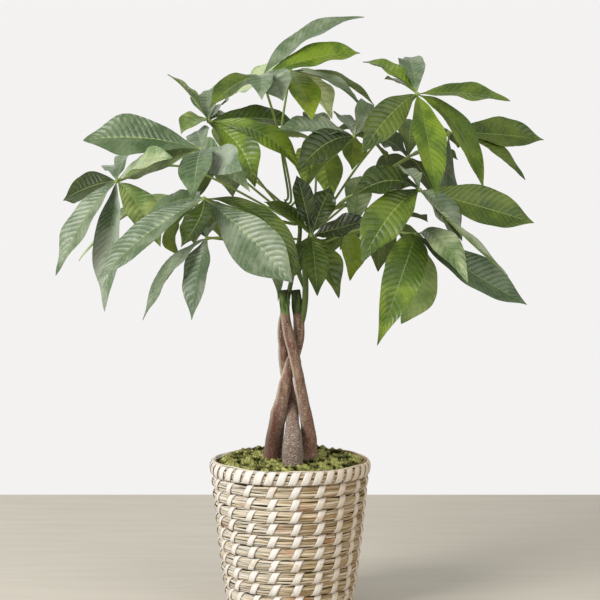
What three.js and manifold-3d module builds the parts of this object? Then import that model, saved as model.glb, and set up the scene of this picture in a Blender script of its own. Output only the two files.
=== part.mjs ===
// Potted money tree: three braided trunks with palmate leaves, standing in a stitched seagrass basket.
// Millimetres, +Z up, the origin at the middle of the basket's foot, the viewer on the -Y side.
import * as THREE from "three";
import { mergeVertices } from "three/addons/utils/BufferGeometryUtils.js";
import Module from "manifold-3d";

const wasm = await Module();
wasm.setup();

// Clearance between pieces that touch, and a little more where a flat facet lies over a curved wall.
const GAP = 0.3;
const FACET_GAP = 0.1;

// Basket: coiled courses of seagrass under a thicker rim bundle.
const COURSES = 11;
const COURSE_HEIGHT = 13;
const RIM_HEIGHT = 16;
const BASKET_HEIGHT = COURSES * COURSE_HEIGHT + RIM_HEIGHT;
const FOOT_RADIUS = 65;
const TOP_RADIUS = 84;
const FLARE_HEIGHT = 150;
const FLARE = 0.75;
const COURSE_RELIEF = 2.2;
const BASKET_WALL = 9;
const FLOOR_HEIGHT = 9;
const RIM_RADIUS = 84.7;
const RIM_INNER_RADIUS = 76.6;
const RIM_ROUNDING = 2.6;
const ROUND_SIDES = 28;

// White strips that wrap the rim and sew the courses. The bundle under the wrap is lower by WRAP_SEAT.
const STRIP_THICKNESS = 1;
const WRAP_SEAT = STRIP_THICKNESS + GAP + FACET_GAP;
const STRIP_WIDTH = 7.4;
const STRIP_COLUMNS = 20;
const STRIP_SLANT = 3.5;
const STRIP_TUCK = 4;
const WRAP_TURNS = 24;
const WRAP_RELIEF = 0.9;

// Liner, soil and moss.
const LINER_WALL = 1.8;
const LINER_BEND = 60;
const SOIL_TOP = 145;
const MOSS_TOP = 153.5;
const MOSS_HEAP = 11;
const MOSS_EDGE_HEAP = 0.35;
const MOSS_LUMP = 2;
const MOSS_SIDES = 16;
const MOSS_RINGS = 4;
const MOSS_EDGE_DROP = 2.5;
const MOSS_FLOOR_EYE = 1;
const MOSS_TOP_EYE = 0.4;
const HOLE_GROWTH = 0.5;

// Facets round and along the trunks, the shoots and the stalks.
const TRUNK_SIDES = 8;
const TRUNK_STEPS = 15;
const SHOOT_SIDES = 6;
const SHOOT_STEPS = 10;
const STALK_SIDES = 5;
const STALK_STEPS = 5;

// Leaves.
const BLADE = 0.8;
const BLADE_TAPER = 1.25;
const BLADE_FULLNESS = 0.85;
const STALK_RADIUS = 1.25;
const STALK_FOOT = 1.25 * STALK_RADIUS;
const STALK_RISE = 3;
const HUB_RADIUS = 3.4;
const ROOT_DEPTH = 0.7 * HUB_RADIUS;
const OUTWARD_TILT = 0.35;
const FOLD = 0.26;
const WAVE = 1.1;
const WIDE_LEAFLET = 35;
const LEAF_SECTIONS = 6;

// The photograph's own viewpoint: where it stands, how far it looks down, its focal length in pixels.
const VIEW = { x: 10.5, y: -2000, z: 489, pitch: 4.62, focal: 1905, centre: 300 };

const LOOKS = {
  seagrass: { color: 0xb3a184, roughness: 0.85 },
  strip: { color: 0xe9e3d8, roughness: 0.7 },
  plastic: { color: 0x2b2b2b, roughness: 0.55 },
  soil: { color: 0x2e2219, roughness: 1 },
  moss: { color: 0x6f7426, roughness: 1 },
  bark: { color: 0x8a6a55, roughness: 0.85 },
  leaf: { color: 0x4f7a2c, roughness: 0.45 },
};

// A seeded draw, so that the lumps and waves are the same on every run.
let seed = 11;
function draw() {
  seed = (seed * 16807) % 2147483647;
  return seed / 2147483647;
}

// The place that the photograph shows at pixel (u, v), on the upright plane `depth` mm behind the middle.
function at(u, v, depth) {
  const pitch = THREE.MathUtils.degToRad(VIEW.pitch);
  const right = (u - VIEW.centre) / VIEW.focal;
  const up = (VIEW.centre - v) / VIEW.focal;
  const reach = (depth - VIEW.y) / (Math.cos(pitch) + up * Math.sin(pitch));
  const rise = up * Math.cos(pitch) - Math.sin(pitch);
  return new THREE.Vector3(VIEW.x + right * reach, depth, VIEW.z + rise * reach);
}

function geometryOf(positions, triangles) {
  const geometry = new THREE.BufferGeometry();
  geometry.setAttribute("position", new THREE.Float32BufferAttribute(positions, 3));
  geometry.setIndex(triangles);
  return geometry;
}

// Rings of points joined side to side. A skin that isn't closed on itself has a fan over each end ring.
function skin(rings, closed = false) {
  const sides = rings[0].length;
  const positions = rings.flat().flatMap((point) => [point.x, point.y, point.z]);
  const triangles = [];
  for (let ring = 0; ring < rings.length - 1; ring++) {
    for (let side = 0; side < sides; side++) {
      const here = ring * sides + side;
      const next = ring * sides + ((side + 1) % sides);
      triangles.push(here, next, here + sides, next, next + sides, here + sides);
    }
  }
  const last = (rings.length - 1) * sides;
  for (let side = 1; side < sides - 1 && !closed; side++) {
    triangles.push(0, side + 1, side);
    triangles.push(last, last + side, last + side + 1);
  }
  return geometryOf(positions, triangles);
}

// A solid that manifold can join and cut, turned right side out where the skin is inside out.
function solid(geometry) {
  const bare = geometry.clone();
  bare.deleteAttribute("normal");
  bare.deleteAttribute("uv");
  const merged = mergeVertices(bare, 1e-4);
  const vertProperties = new Float32Array(merged.attributes.position.array);
  const triVerts = new Uint32Array(merged.index.array);
  const made = new wasm.Manifold(new wasm.Mesh({ numProp: 3, vertProperties, triVerts }));
  if (made.volume() > 0) {
    return made;
  }
  const turned = triVerts.map((vertex, i) => triVerts[i - (i % 3) + 2 - (i % 3)]);
  return new wasm.Manifold(new wasm.Mesh({ numProp: 3, vertProperties, triVerts: turned }));
}

function join(solids) {
  return solids.reduce((whole, piece) => whole.add(piece));
}

// A round tube along a smooth curve through `points`, with a radius at each of them.
function tube(points, radii, sides, steps) {
  const path = new THREE.CatmullRomCurve3(points, false, "centripetal");
  const rings = [];
  let normal = new THREE.Vector3(0.31, 0.95, 0.1);
  for (let step = 0; step <= steps; step++) {
    const t = step / steps;
    const place = path.getPoint(t);
    const ahead = path.getTangent(t);
    normal = normal.clone().addScaledVector(ahead, -normal.dot(ahead)).normalize();
    const across = new THREE.Vector3().crossVectors(ahead, normal);
    const along = t * (radii.length - 1);
    const knot = Math.min(Math.floor(along), radii.length - 2);
    const radius = THREE.MathUtils.lerp(radii[knot], radii[knot + 1], along - knot);
    const ring = [];
    for (let side = 0; side < sides; side++) {
      const turn = (side / sides) * 2 * Math.PI;
      const point = place.clone().addScaledVector(normal, radius * Math.cos(turn));
      ring.push(point.addScaledVector(across, radius * Math.sin(turn)));
    }
    rings.push(ring);
  }
  return skin(rings);
}

function lathe(outline, sides) {
  const points = outline.map(([radius, height]) => new THREE.Vector2(radius, height));
  return new THREE.LatheGeometry(points, sides).rotateX(Math.PI / 2);
}

const plant = new THREE.Group();

function place(name, made, look) {
  const mesh = made.getMesh();
  const geometry = geometryOf(mesh.vertProperties, [...mesh.triVerts]);
  geometry.computeVertexNormals();
  const piece = new THREE.Mesh(geometry, new THREE.MeshStandardMaterial({ metalness: 0, ...look }));
  piece.name = name;
  plant.add(piece);
}

// BASKET

// Radius of the courses' crests: flared quickly above the foot, nearly upright under the rim.
function crestRadius(height) {
  return FOOT_RADIUS + (TOP_RADIUS - FOOT_RADIUS) * (Math.max(height, 0) / FLARE_HEIGHT) ** FLARE;
}

function innerRadius(height) {
  return Math.min(crestRadius(height) - BASKET_WALL, RIM_INNER_RADIUS);
}

function basketOutline() {
  const outline = [[0, 0], [FOOT_RADIUS - COURSE_RELIEF, 0]];
  for (let course = 0; course < COURSES; course++) {
    const middle = (course + 0.5) * COURSE_HEIGHT;
    const top = (course + 1) * COURSE_HEIGHT;
    outline.push([crestRadius(middle), middle]);
    outline.push([crestRadius(top) - COURSE_RELIEF, top]);
  }
  const rim = COURSES * COURSE_HEIGHT;
  const top = BASKET_HEIGHT - WRAP_SEAT;
  outline.push([RIM_RADIUS, rim + COURSE_RELIEF], [RIM_RADIUS, top - RIM_ROUNDING]);
  outline.push([RIM_RADIUS - RIM_ROUNDING, top], [RIM_INNER_RADIUS + RIM_ROUNDING, top]);
  outline.push([RIM_INNER_RADIUS, top - RIM_ROUNDING]);
  for (const height of [SOIL_TOP, LINER_BEND, FLOOR_HEIGHT]) {
    outline.push([innerRadius(height), height]);
  }
  outline.push([0, FLOOR_HEIGHT]);
  return outline;
}

place("basket", solid(lathe(basketOutline(), ROUND_SIDES)), LOOKS.seagrass);

// STITCHING

// The rim's wrap: a ring of strips laid side by side over the rim, each standing a little proud.
function rimWrap() {
  const foot = BASKET_HEIGHT - RIM_HEIGHT + COURSE_RELIEF;
  const top = BASKET_HEIGHT - WRAP_SEAT + GAP;
  const outer = RIM_RADIUS + GAP;
  const inner = RIM_INNER_RADIUS + RIM_ROUNDING;
  const section = [
    [outer, foot],
    [outer + STRIP_THICKNESS, foot],
    [outer + STRIP_THICKNESS + WRAP_RELIEF, (foot + top) / 2],
    [outer - STRIP_THICKNESS, top + STRIP_THICKNESS],
    [inner, top + STRIP_THICKNESS],
    [inner, top],
    [outer - RIM_ROUNDING, top],
    [outer, top - RIM_ROUNDING],
  ];
  const rings = [];
  for (let side = 0; side < WRAP_TURNS * 2; side++) {
    const turn = (side / (WRAP_TURNS * 2)) * 2 * Math.PI;
    const sunk = side % 2 === 0 ? 0 : WRAP_RELIEF;
    rings.push(section.map(([radius, height], i) => {
      const reach = i === 2 ? radius - sunk : radius;
      return new THREE.Vector3(reach * Math.cos(turn), reach * Math.sin(turn), height);
    }));
  }
  return solid(skin([...rings, rings[0]], true));
}

// One column of stitches: a strip that passes over every course's crest, leaning at each one. Its top is
// tucked under the rim's wrap.
function stitchColumn(column) {
  const bearing = ((column + 0.25) / STRIP_COLUMNS) * 2 * Math.PI;
  const rings = [];
  for (let course = COURSES; course >= 0; course--) {
    const tucked = course === COURSES;
    const height = tucked ? COURSES * COURSE_HEIGHT + STRIP_TUCK : (course + 0.5) * COURSE_HEIGHT;
    const seat = tucked ? RIM_RADIUS + GAP + FACET_GAP : crestRadius(height) + GAP;
    const lean = course % 2 === 0 ? STRIP_SLANT : -STRIP_SLANT;
    const ring = [];
    for (const [across, out] of [[-1, 0], [1, 0], [1, 1], [-1, 1]]) {
      const shift = (lean + (across * STRIP_WIDTH) / 2) / seat;
      const radius = seat + out * STRIP_THICKNESS;
      const angle = bearing + shift;
      ring.push(new THREE.Vector3(radius * Math.cos(angle), radius * Math.sin(angle), height));
    }
    rings.push(ring);
  }
  return solid(skin(rings));
}

const stitching = [rimWrap()];
for (let column = 0; column < STRIP_COLUMNS; column++) {
  stitching.push(stitchColumn(column));
}
place("stitching", join(stitching), LOOKS.strip);

// TRUNKS

// Each trunk: where its middle shows in the photograph, its depth, and its radius in mm, foot first.
const TRUNKS = {
  trunk_1: [
    [271, 515, 12, 8], [272, 470, 12, 10], [273.5, 445, 8, 9], [278, 417, 0, 8.3], [282.5, 396, -3, 7.1],
    [287, 378, -1, 6.4], [290, 366, 2, 6], [293, 359, 4.5, 5.8], [297, 348, 4, 5.7],
    [299, 334, 2, 5.8], [298.7, 321, 1, 6], [297.5, 308, 0, 5.8], [295.5, 290, 0, 4.9],
  ],
  trunk_2: [
    [310, 515, 12, 7], [309, 470, 12, 8.4], [309, 445, 8, 8], [306, 417, -4, 6.9],
    [301.5, 394, -9, 6.2], [298, 374, -11, 5.8], [295, 359, -11, 5.7], [291.5, 346, -10, 5.7],
    [287.5, 328, -8, 5.3], [285, 310, -7, 5], [283.3, 290, -6, 4.8],
  ],
  trunk_3: [
    [292, 515, -18, 9], [292.5, 478, -20, 10.5], [292.7, 445, -17, 10.4], [292.6, 424, -4, 7.4],
    [291.5, 405, 7, 6.2], [288, 385, 12, 6], [284.5, 366, 13, 5.8], [283.5, 348, 9, 5.6],
    [282.5, 330, 6.5, 5.2], [284.5, 312, 7, 4.9], [286, 301, 8, 4.5],
  ],
};

// The young shoots that rise from the cut tops of two trunks, and carry the leaves.
const SHOOTS = {
  trunk_1: [
    [299, 330, 1, 3], [302.5, 318, -1, 3.4], [305, 302, -3, 3.3], [305.5, 284, -4, 3.2], [305, 262, -5, 3],
    [308, 245, -6, 2.8], [312, 230, -6, 2.6], [316, 214, -5, 2.3],
  ],
  trunk_3: [
    [286, 308, 8, 2.6], [289, 292, 8.5, 2.5], [292, 277, 8, 2.4], [295, 258, 8, 2.4], [299.5, 238, 8, 2.3],
    [299, 222, 8, 2.2], [292, 211, 7, 2.2], [284, 202, 6, 2.2],
  ],
};

function trunk(name, grow) {
  const knots = TRUNKS[name];
  const points = knots.map(([u, v, depth]) => at(u, v, depth));
  const radii = knots.map((knot) => knot[3] + grow);
  return solid(tube(points, radii, TRUNK_SIDES, TRUNK_STEPS));
}

function shoot(name) {
  const knots = SHOOTS[name];
  const points = knots.map(([u, v, depth]) => at(u, v, depth));
  const radii = knots.map((knot) => knot[3]);
  return solid(tube(points, radii, SHOOT_SIDES, SHOOT_STEPS));
}

for (const name of Object.keys(TRUNKS)) {
  const grown = SHOOTS[name] ? trunk(name, 0).add(shoot(name)) : trunk(name, 0);
  place(name, grown, LOOKS.bark);
}

// LINER, SOIL AND MOSS

function linerOutline() {
  const floor = FLOOR_HEIGHT + GAP;
  const outer = [SOIL_TOP, LINER_BEND, floor].map((height) => [innerRadius(height) - GAP - FACET_GAP, height]);
  const inner = outer.map(([radius, height]) => [radius - LINER_WALL, height]).reverse();
  inner[0][1] = floor + LINER_WALL;
  return [[0, floor + LINER_WALL], ...inner, ...outer, [0, floor]];
}

function soilOutline() {
  const floor = FLOOR_HEIGHT + GAP + LINER_WALL + GAP;
  const inset = LINER_WALL + 3 * GAP;
  const side = [floor, LINER_BEND, SOIL_TOP].map((height) => [innerRadius(height) - inset, height]);
  return [[0, floor], ...side, [0, SOIL_TOP]];
}

// How much higher the moss is heaped at a share `back` of the way from its middle to its far edge.
function mossHeap(back) {
  return MOSS_HEAP * ((1 + back) / 2) ** 2;
}

// Moss: a sheet heaped towards the back, with a lumpy top, over the soil and the liner's edge, packed
// against the basket's wall.
function mossSheet() {
  const bottom = innerRadius(SOIL_TOP) - 2 * GAP;
  const top = RIM_INNER_RADIUS - 6 * GAP;
  const profile = [[MOSS_FLOOR_EYE, SOIL_TOP + GAP], [bottom, SOIL_TOP + GAP], [top, MOSS_TOP - MOSS_EDGE_DROP]];
  for (let ring = MOSS_RINGS; ring > 0; ring--) {
    const share = ring / (MOSS_RINGS + MOSS_TOP_EYE);
    profile.push([top * share, MOSS_TOP]);
  }
  const rings = profile.map(([radius, height], i) => {
    const ring = [];
    for (let side = 0; side < MOSS_SIDES; side++) {
      const turn = (side / MOSS_SIDES) * 2 * Math.PI;
      const lump = i < 2 ? 0 : (draw() - 0.4) * MOSS_LUMP * (i === 2 ? 1 : 2);
      const heap = mossHeap((radius / top) * Math.sin(turn)) * [0, 0, MOSS_EDGE_HEAP, 1][Math.min(i, 3)];
      ring.push(new THREE.Vector3(radius * Math.cos(turn), radius * Math.sin(turn), height + lump + heap));
    }
    return ring;
  });
  return solid(skin(rings));
}

const holes = join(Object.keys(TRUNKS).map((name) => trunk(name, HOLE_GROWTH)));
place("liner", solid(lathe(linerOutline(), ROUND_SIDES)), LOOKS.plastic);
place("soil", solid(lathe(soilOutline(), ROUND_SIDES)).subtract(holes), LOOKS.soil);
place("moss", mossSheet().subtract(holes), LOOKS.moss);

// LEAVES

// Each leaf: the photograph's pixel and the depth in mm of its hub, the trunk whose shoot bears it and how
// far up that shoot (0 to 1), any pixel and depth that its stalk passes, and its leaflets. A leaflet has the
// pixel and depth of its tip, its true width in mm, how many degrees its face leans to the viewer, and how
// many mm its middle arches, or the pixel and depth that its middle passes. A few have a taper or skew
// of their own.
const LEAVES = {
  leaf_a: {
    hub: [116.6, 181, -5], bearer: "trunk_3", height: 0.78, via: [178, 166, 44],
    leaflets: [
      { tip: [63, 200.6, 45], wide: 34, lean: 50, arch: 4 },
      { tip: [55.7, 275.7, -30], wide: 36, lean: 35, arch: 12 },
      { tip: [104.5, 311.6, -20], wide: 36, lean: 40, arch: 10 },
      { tip: [160.5, 247, -36], wide: 36, lean: 10, arch: 8 },
      { tip: [113, 167, 66], wide: 26, lean: 0, arch: 8 },
      { tip: [130, 151, 60], wide: 20, lean: 0, arch: 6 },
      { tip: [172.8, 158, -100], wide: 26, lean: 36, via: [144.4, 161.5, -72] },
    ],
  },
  leaf_b: {
    hub: [202.3, 150, -50], bearer: "trunk_3", height: 0.84, via: [238, 176, 14],
    leaflets: [
      { tip: [83, 140.5, -40], wide: 46, lean: 52, arch: 8, via: [143, 138, -45], taper: 1.5 },
      { tip: [120.5, 180, -8], wide: 34, lean: 36, arch: 4 },
      { tip: [193, 200, -125], wide: 36, lean: 0, arch: 12 },
      { tip: [242, 171, -118], wide: 36, lean: 34, arch: 0 },
      { tip: [250, 192, -84], wide: 20, lean: 20, arch: 6 },
      { tip: [197, 131, 10], wide: 26, lean: 10, arch: 4 },
    ],
  },
  leaf_c: {
    hub: [204, 198.7, -85], bearer: "trunk_3", height: 0.7, via: [246, 212, -40],
    leaflets: [
      { tip: [97, 280.5, -88], wide: 34, lean: 34, arch: 8 },
      { tip: [148, 214, -30], wide: 28, lean: 22, arch: 5 },
      { tip: [181, 247, -128], wide: 32, lean: 5, via: [199, 220, -106] },
      { tip: [292.5, 282.5, -128], wide: 52, lean: 42, arch: 6, taper: 1.6, skew: 0.14 },
      { tip: [303, 288.7, -100], wide: 26, lean: 10, via: [266, 221, -84] },
    ],
  },
  leaf_d: {
    hub: [208.8, 121.2, 14], bearer: "trunk_3", height: 0.98, via: [245, 163, 0],
    leaflets: [
      { tip: [167.5, 74.5, 42], wide: 26, lean: -28, arch: 6 },
      { tip: [206.5, 90.6, 62], wide: 34, lean: 0, arch: 6 },
      { tip: [255, 187.3, -44], wide: 36, lean: 34, via: [240, 147, -18] },
      { tip: [298.7, 169, -36], wide: 32, lean: 24, via: [263, 134.5, -24] },
      { tip: [296, 125, 30], wide: 36, lean: 42, via: [257, 118.5, 24] },
      { tip: [223, 104.4, 48], wide: 32, lean: 0, arch: 4 },
      { tip: [181, 134, -14], wide: 28, lean: 35, arch: 8 },
      { tip: [237.5, 122, 60], wide: 24, lean: 30, arch: 8 },
    ],
  },
  leaf_e: {
    hub: [290.3, 71.2, 6], bearer: "trunk_3", height: 1, via: [281, 140, 14],
    leaflets: [
      { tip: [235, 93.5, 56], wide: 40, lean: 60, via: [262.8, 79, 34] },
      { tip: [312, 120, -52], wide: 34, lean: 15, arch: 10, taper: 1.6 },
      { tip: [332, 119, 42], wide: 38, lean: 10, arch: 10 },
      { tip: [362.5, 109, -8], wide: 30, lean: 32, via: [331, 82, 0] },
      { tip: [374.5, 105.5, 54], wide: 30, lean: 20, arch: 12 },
    ],
  },
  leaf_f: {
    hub: [262, 76.5, -38], bearer: "trunk_3", height: 0.95, via: [281, 142, -4],
    leaflets: [
      { tip: [209.2, 108.7, -74], wide: 30, lean: 18, via: [237, 84, -56] },
      { tip: [262, 100, -96], wide: 24, lean: 0, arch: 9 },
      { tip: [283, 101, -74], wide: 36, lean: 16, arch: 8 },
      { tip: [360.3, 53.2, -36], wide: 40, lean: 22, via: [313, 58.5, -42], taper: 1.45 },
      { tip: [364.5, 17, -14], wide: 30, lean: 14, via: [310, 35, -22], taper: 0.95 },
    ],
  },
  leaf_g: {
    hub: [416.9, 94, -28], bearer: "trunk_1", height: 0.97, via: [360, 163, 22],
    leaflets: [
      { tip: [407.4, 57.3, 30], wide: 28, lean: 20, arch: 8 },
      { tip: [362.6, 62.2, 12], wide: 28, lean: 20, arch: 8 },
      { tip: [361.5, 154, -72], wide: 34, lean: 30, arch: 8 },
      { tip: [436.6, 198.5, -96], wide: 38, lean: 10, arch: 12 },
      { tip: [510.4, 101.1, -36], wide: 34, lean: 28, arch: 4 },
      { tip: [484, 193, -8], wide: 36, lean: 42, via: [458, 130, -22] },
      { tip: [384.5, 79, 34], wide: 22, lean: 10, arch: 4 },
    ],
  },
  leaf_h: {
    hub: [449, 133, 24], bearer: "trunk_1", height: 0.9, via: [388, 170, 36],
    leaflets: [
      { tip: [544, 140, 44], wide: 42, lean: 45, arch: 2 },
      { tip: [525.3, 180, 0], wide: 34, lean: 22, arch: 10 },
      { tip: [458, 148, 106], wide: 30, lean: 0, arch: 6 },
      { tip: [458, 241, 10], wide: 36, lean: 35, via: [447, 198, 12] },
    ],
  },
  leaf_i: {
    hub: [419.6, 190, -62], bearer: "trunk_1", height: 0.88, via: [350, 196, -28],
    leaflets: [
      { tip: [361.4, 263.3, -108], wide: 44, lean: 12, arch: 12 },
      { tip: [351.5, 197.5, -78], wide: 36, lean: 35, via: [388, 181, -72] },
      { tip: [400, 171, 0], wide: 24, lean: 0, arch: 8 },
      { tip: [508, 276, -92], wide: 32, lean: -5, via: [462, 234, -84] },
      { tip: [534.3, 223, -30], wide: 44, lean: 52, via: [478, 206, -44] },
      { tip: [462, 241, -76], wide: 34, lean: 26, arch: 8 },
    ],
  },
  leaf_j: {
    hub: [354.3, 136.8, -45], bearer: "trunk_3", height: 0.91, via: [318, 172, -14],
    leaflets: [
      { tip: [277.3, 130.3, -62], wide: 32, lean: 20, arch: 6 },
      { tip: [297.7, 171.2, -88], wide: 34, lean: 28, arch: 10 },
      { tip: [337.4, 115.4, 14], wide: 24, lean: 0, arch: 6 },
      { tip: [374, 106, 18], wide: 30, lean: 30, arch: 6 },
      { tip: [352, 170, -4], wide: 28, lean: 0, arch: 6 },
      { tip: [388, 163, 0], wide: 30, lean: 20, arch: 10 },
      { tip: [304, 188, -8], wide: 30, lean: 20, arch: 4 },
    ],
  },
  leaf_k: {
    hub: [415.6, 234.5, -45], bearer: "trunk_1", height: 0.72, via: [364, 229, -24],
    leaflets: [
      { tip: [377, 346, -80], wide: 42, lean: 12, via: [400, 281, -74], taper: 0.7 },
      { tip: [401, 324, -20], wide: 46, lean: 20, via: [417, 280, -26] },
      { tip: [527, 304.8, -50], wide: 42, lean: 44, via: [471, 272, -46] },
      { tip: [468, 283, -96], wide: 30, lean: 38, via: [441, 241, -72] },
      { tip: [388, 290, 0], wide: 26, lean: 10, arch: 6 },
    ],
  },
  leaf_l: {
    hub: [311.2, 236, -42], bearer: "trunk_1", height: 0.64,
    leaflets: [
      { tip: [317.3, 296.4, -88], wide: 28, lean: 0, arch: 8 },
      { tip: [339, 298.7, -60], wide: 30, lean: 10, arch: 9 },
      { tip: [369, 220, -72], wide: 32, lean: 30, arch: 0 },
      { tip: [296.5, 175.5, -36], wide: 24, lean: 20, arch: 4 },
      { tip: [331, 188, -24], wide: 26, lean: 20, arch: 4 },
      { tip: [264, 202, -26], wide: 20, lean: 20, arch: 6 },
      { tip: [290, 281, -44], wide: 24, lean: 10, arch: 4 },
    ],
  },
  leaf_m: {
    hub: [207, 238.3, 0], bearer: "trunk_3", height: 0.56, via: [250, 236, 4],
    leaflets: [
      { tip: [142.6, 320.2, -14], wide: 32, lean: 22, arch: 14 },
      { tip: [191.6, 320.2, -26], wide: 34, lean: 25, arch: 12 },
      { tip: [213, 226, 44], wide: 24, lean: 0, arch: 6 },
      { tip: [194, 244, 76], wide: 28, lean: 0, arch: 10 },
      { tip: [278, 301, 40], wide: 26, lean: 0, via: [262, 256, 26] },
    ],
  },
  leaf_n: {
    hub: [353, 231, 12], bearer: "trunk_1", height: 0.8, via: [332, 224, 6],
    leaflets: [
      { tip: [350, 281, -30], wide: 30, lean: 10, arch: 8 },
      { tip: [384, 262, 40], wide: 32, lean: 10, arch: 10 },
      { tip: [361, 176, -4], wide: 30, lean: 20, arch: 8 },
      { tip: [326, 262, 24], wide: 28, lean: 0, arch: 8 },
    ],
  },
  leaf_p: {
    hub: [226, 158, 122], bearer: "trunk_3", height: 0.88, via: [262, 186, 56],
    leaflets: [
      { tip: [174, 150, 146], wide: 34, lean: 30, arch: 10 },
      { tip: [190, 206, 168], wide: 38, lean: 0, arch: 12 },
      { tip: [233, 197, 204], wide: 38, lean: 0, arch: 10 },
      { tip: [228, 124, 190], wide: 34, lean: 0, arch: 8 },
    ],
  },
  leaf_q: {
    hub: [318, 144, 128], bearer: "trunk_1", height: 1, via: [316, 180, 56],
    leaflets: [
      { tip: [272, 142, 164], wide: 34, lean: 0, arch: 8 },
      { tip: [305, 190, 204], wide: 36, lean: 0, arch: 12 },
      { tip: [331, 203, 194], wide: 38, lean: 0, arch: 12 },
      { tip: [364, 130, 168], wide: 34, lean: 0, arch: 8 },
      { tip: [314, 114, 190], wide: 32, lean: 0, arch: 8 },
    ],
  },
  leaf_r: {
    hub: [408, 158, 112], bearer: "trunk_1", height: 0.94, via: [358, 191, 54],
    leaflets: [
      { tip: [371, 141, 108], wide: 44, lean: 46, arch: 8 },
      { tip: [385, 197, 160], wide: 42, lean: 0, arch: 12 },
      { tip: [438, 206, 160], wide: 38, lean: 0, arch: 12 },
      { tip: [458, 160, 150], wide: 34, lean: 0, arch: 8 },
      { tip: [412, 120, 176], wide: 32, lean: 0, arch: 8 },
    ],
  },
  leaf_s: {
    hub: [382, 224, 96], bearer: "trunk_1", height: 0.76, via: [338, 238, 48],
    leaflets: [
      { tip: [340, 250, 140], wide: 34, lean: 0, arch: 10 },
      { tip: [378, 272, 164], wide: 38, lean: 0, arch: 12 },
      { tip: [424, 262, 142], wide: 36, lean: 0, arch: 12 },
      { tip: [428, 222, 150], wide: 34, lean: 0, arch: 8 },
      { tip: [334, 210.5, 104], wide: 26, lean: 20, via: [357, 208, 100] },
    ],
  },
  leaf_t: {
    hub: [196, 205, 26], bearer: "trunk_3", height: 0.72, via: [250, 214, 26],
    leaflets: [
      { tip: [78.7, 261, 30], wide: 36, lean: 20, via: [138, 209, 24] },
      { tip: [178.5, 254, 66], wide: 34, lean: 24, via: [175, 229, 46] },
      { tip: [178, 212, 122], wide: 36, lean: 0, arch: 10 },
      { tip: [224, 240, 116], wide: 36, lean: 0, arch: 10 },
    ],
  },
};

// Half-width along a leaflet, as a share of its widest: wedge-shaped base, pointed tip.
function leafletShape(t, taper) {
  return Math.sin(Math.PI * t ** taper) ** BLADE_FULLNESS;
}

// A blade's skin: sections of three points on the upper face and three on the lower, between a base and a
// tip of two points each. Both faces are split into triangles alike, so that a waved blade can't cross.
function bladeSkin(base, sections, tip) {
  const points = [...base, ...sections.flat(), ...tip];
  const triangles = [];
  const first = 2;
  const last = points.length - 8;
  const end = points.length - 2;
  for (const [a, b] of [[0, 1], [1, 2]]) {
    triangles.push(0, first + a, first + b, 1, first + 3 + b, first + 3 + a);
    triangles.push(end, last + b, last + a, end + 1, last + 3 + a, last + 3 + b);
  }
  triangles.push(0, 1, first, 1, first + 3, first, 0, first + 2, 1, 1, first + 2, first + 5);
  triangles.push(end, last, end + 1, end + 1, last, last + 3);
  triangles.push(end, end + 1, last + 2, end + 1, last + 5, last + 2);
  for (let here = first; here < last; here += 6) {
    const next = here + 6;
    for (const [a, b] of [[0, 1], [1, 2]]) {
      triangles.push(here + a, next + a, next + b, here + a, next + b, here + b);
      triangles.push(here + 3 + a, next + 3 + b, next + 3 + a, here + 3 + a, here + 3 + b, next + 3 + b);
    }
    triangles.push(here, here + 3, next, here + 3, next + 3, next);
    triangles.push(here + 2, next + 2, here + 5, here + 5, next + 2, next + 5);
  }
  return geometryOf(points.flatMap((point) => [point.x, point.y, point.z]), triangles);
}

// One leaflet: a thin blade along an arched rib, folded up a little at the rib, with waved edges.
// A tapering one is widest nearer its base, and a skewed one has one half wider than the other.
function leaflet(hub, { tip, wide, lean, arch = 0, via, taper = BLADE_TAPER, skew = 0 }) {
  const end = at(...tip);
  const middle = via ? at(...via) : hub.clone().lerp(end, 0.5).add(new THREE.Vector3(0, 0, arch));
  const bend = middle.clone().multiplyScalar(2).addScaledVector(hub, -0.5).addScaledVector(end, -0.5);
  const start = bend.clone().sub(hub).setLength(HUB_RADIUS - ROOT_DEPTH).add(hub);
  const rib = new THREE.QuadraticBezierCurve3(start, bend, end);
  const chord = end.clone().sub(hub).normalize();
  const outward = new THREE.Vector3(hub.x, hub.y, 0).normalize();
  const upward = new THREE.Vector3(0, 0, 1).addScaledVector(outward, OUTWARD_TILT);
  const across = new THREE.Vector3().crossVectors(chord, upward).normalize();
  across.applyAxisAngle(chord, THREE.MathUtils.degToRad(lean) * (chord.x >= 0 ? 1 : -1));
  const sections = [];
  const steps = wide < WIDE_LEAFLET ? LEAF_SECTIONS - 1 : LEAF_SECTIONS;
  for (let step = 0; step <= steps; step++) {
    const t = step / steps;
    const place = rib.getPoint(t);
    const ahead = rib.getTangent(t);
    const face = new THREE.Vector3().crossVectors(across, ahead).normalize();
    const side = new THREE.Vector3().crossVectors(ahead, face);
    const half = (wide / 2) * leafletShape(t, taper);
    const wave = WAVE * (step % 2 === 0 ? 1 : -1);
    const section = [];
    for (const up of [1, -1]) {
      for (const out of step === 0 || step === steps ? [0] : [-1, 0, 1]) {
        const reach = out * half * (1 + out * skew);
        const lift = Math.abs(reach) * FOLD + out * wave + (up * BLADE) / 2;
        section.push(place.clone().addScaledVector(side, reach).addScaledVector(face, lift));
      }
    }
    sections.push(section);
  }
  return solid(bladeSkin(sections[0], sections.slice(1, -1), sections[steps]));
}

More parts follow.
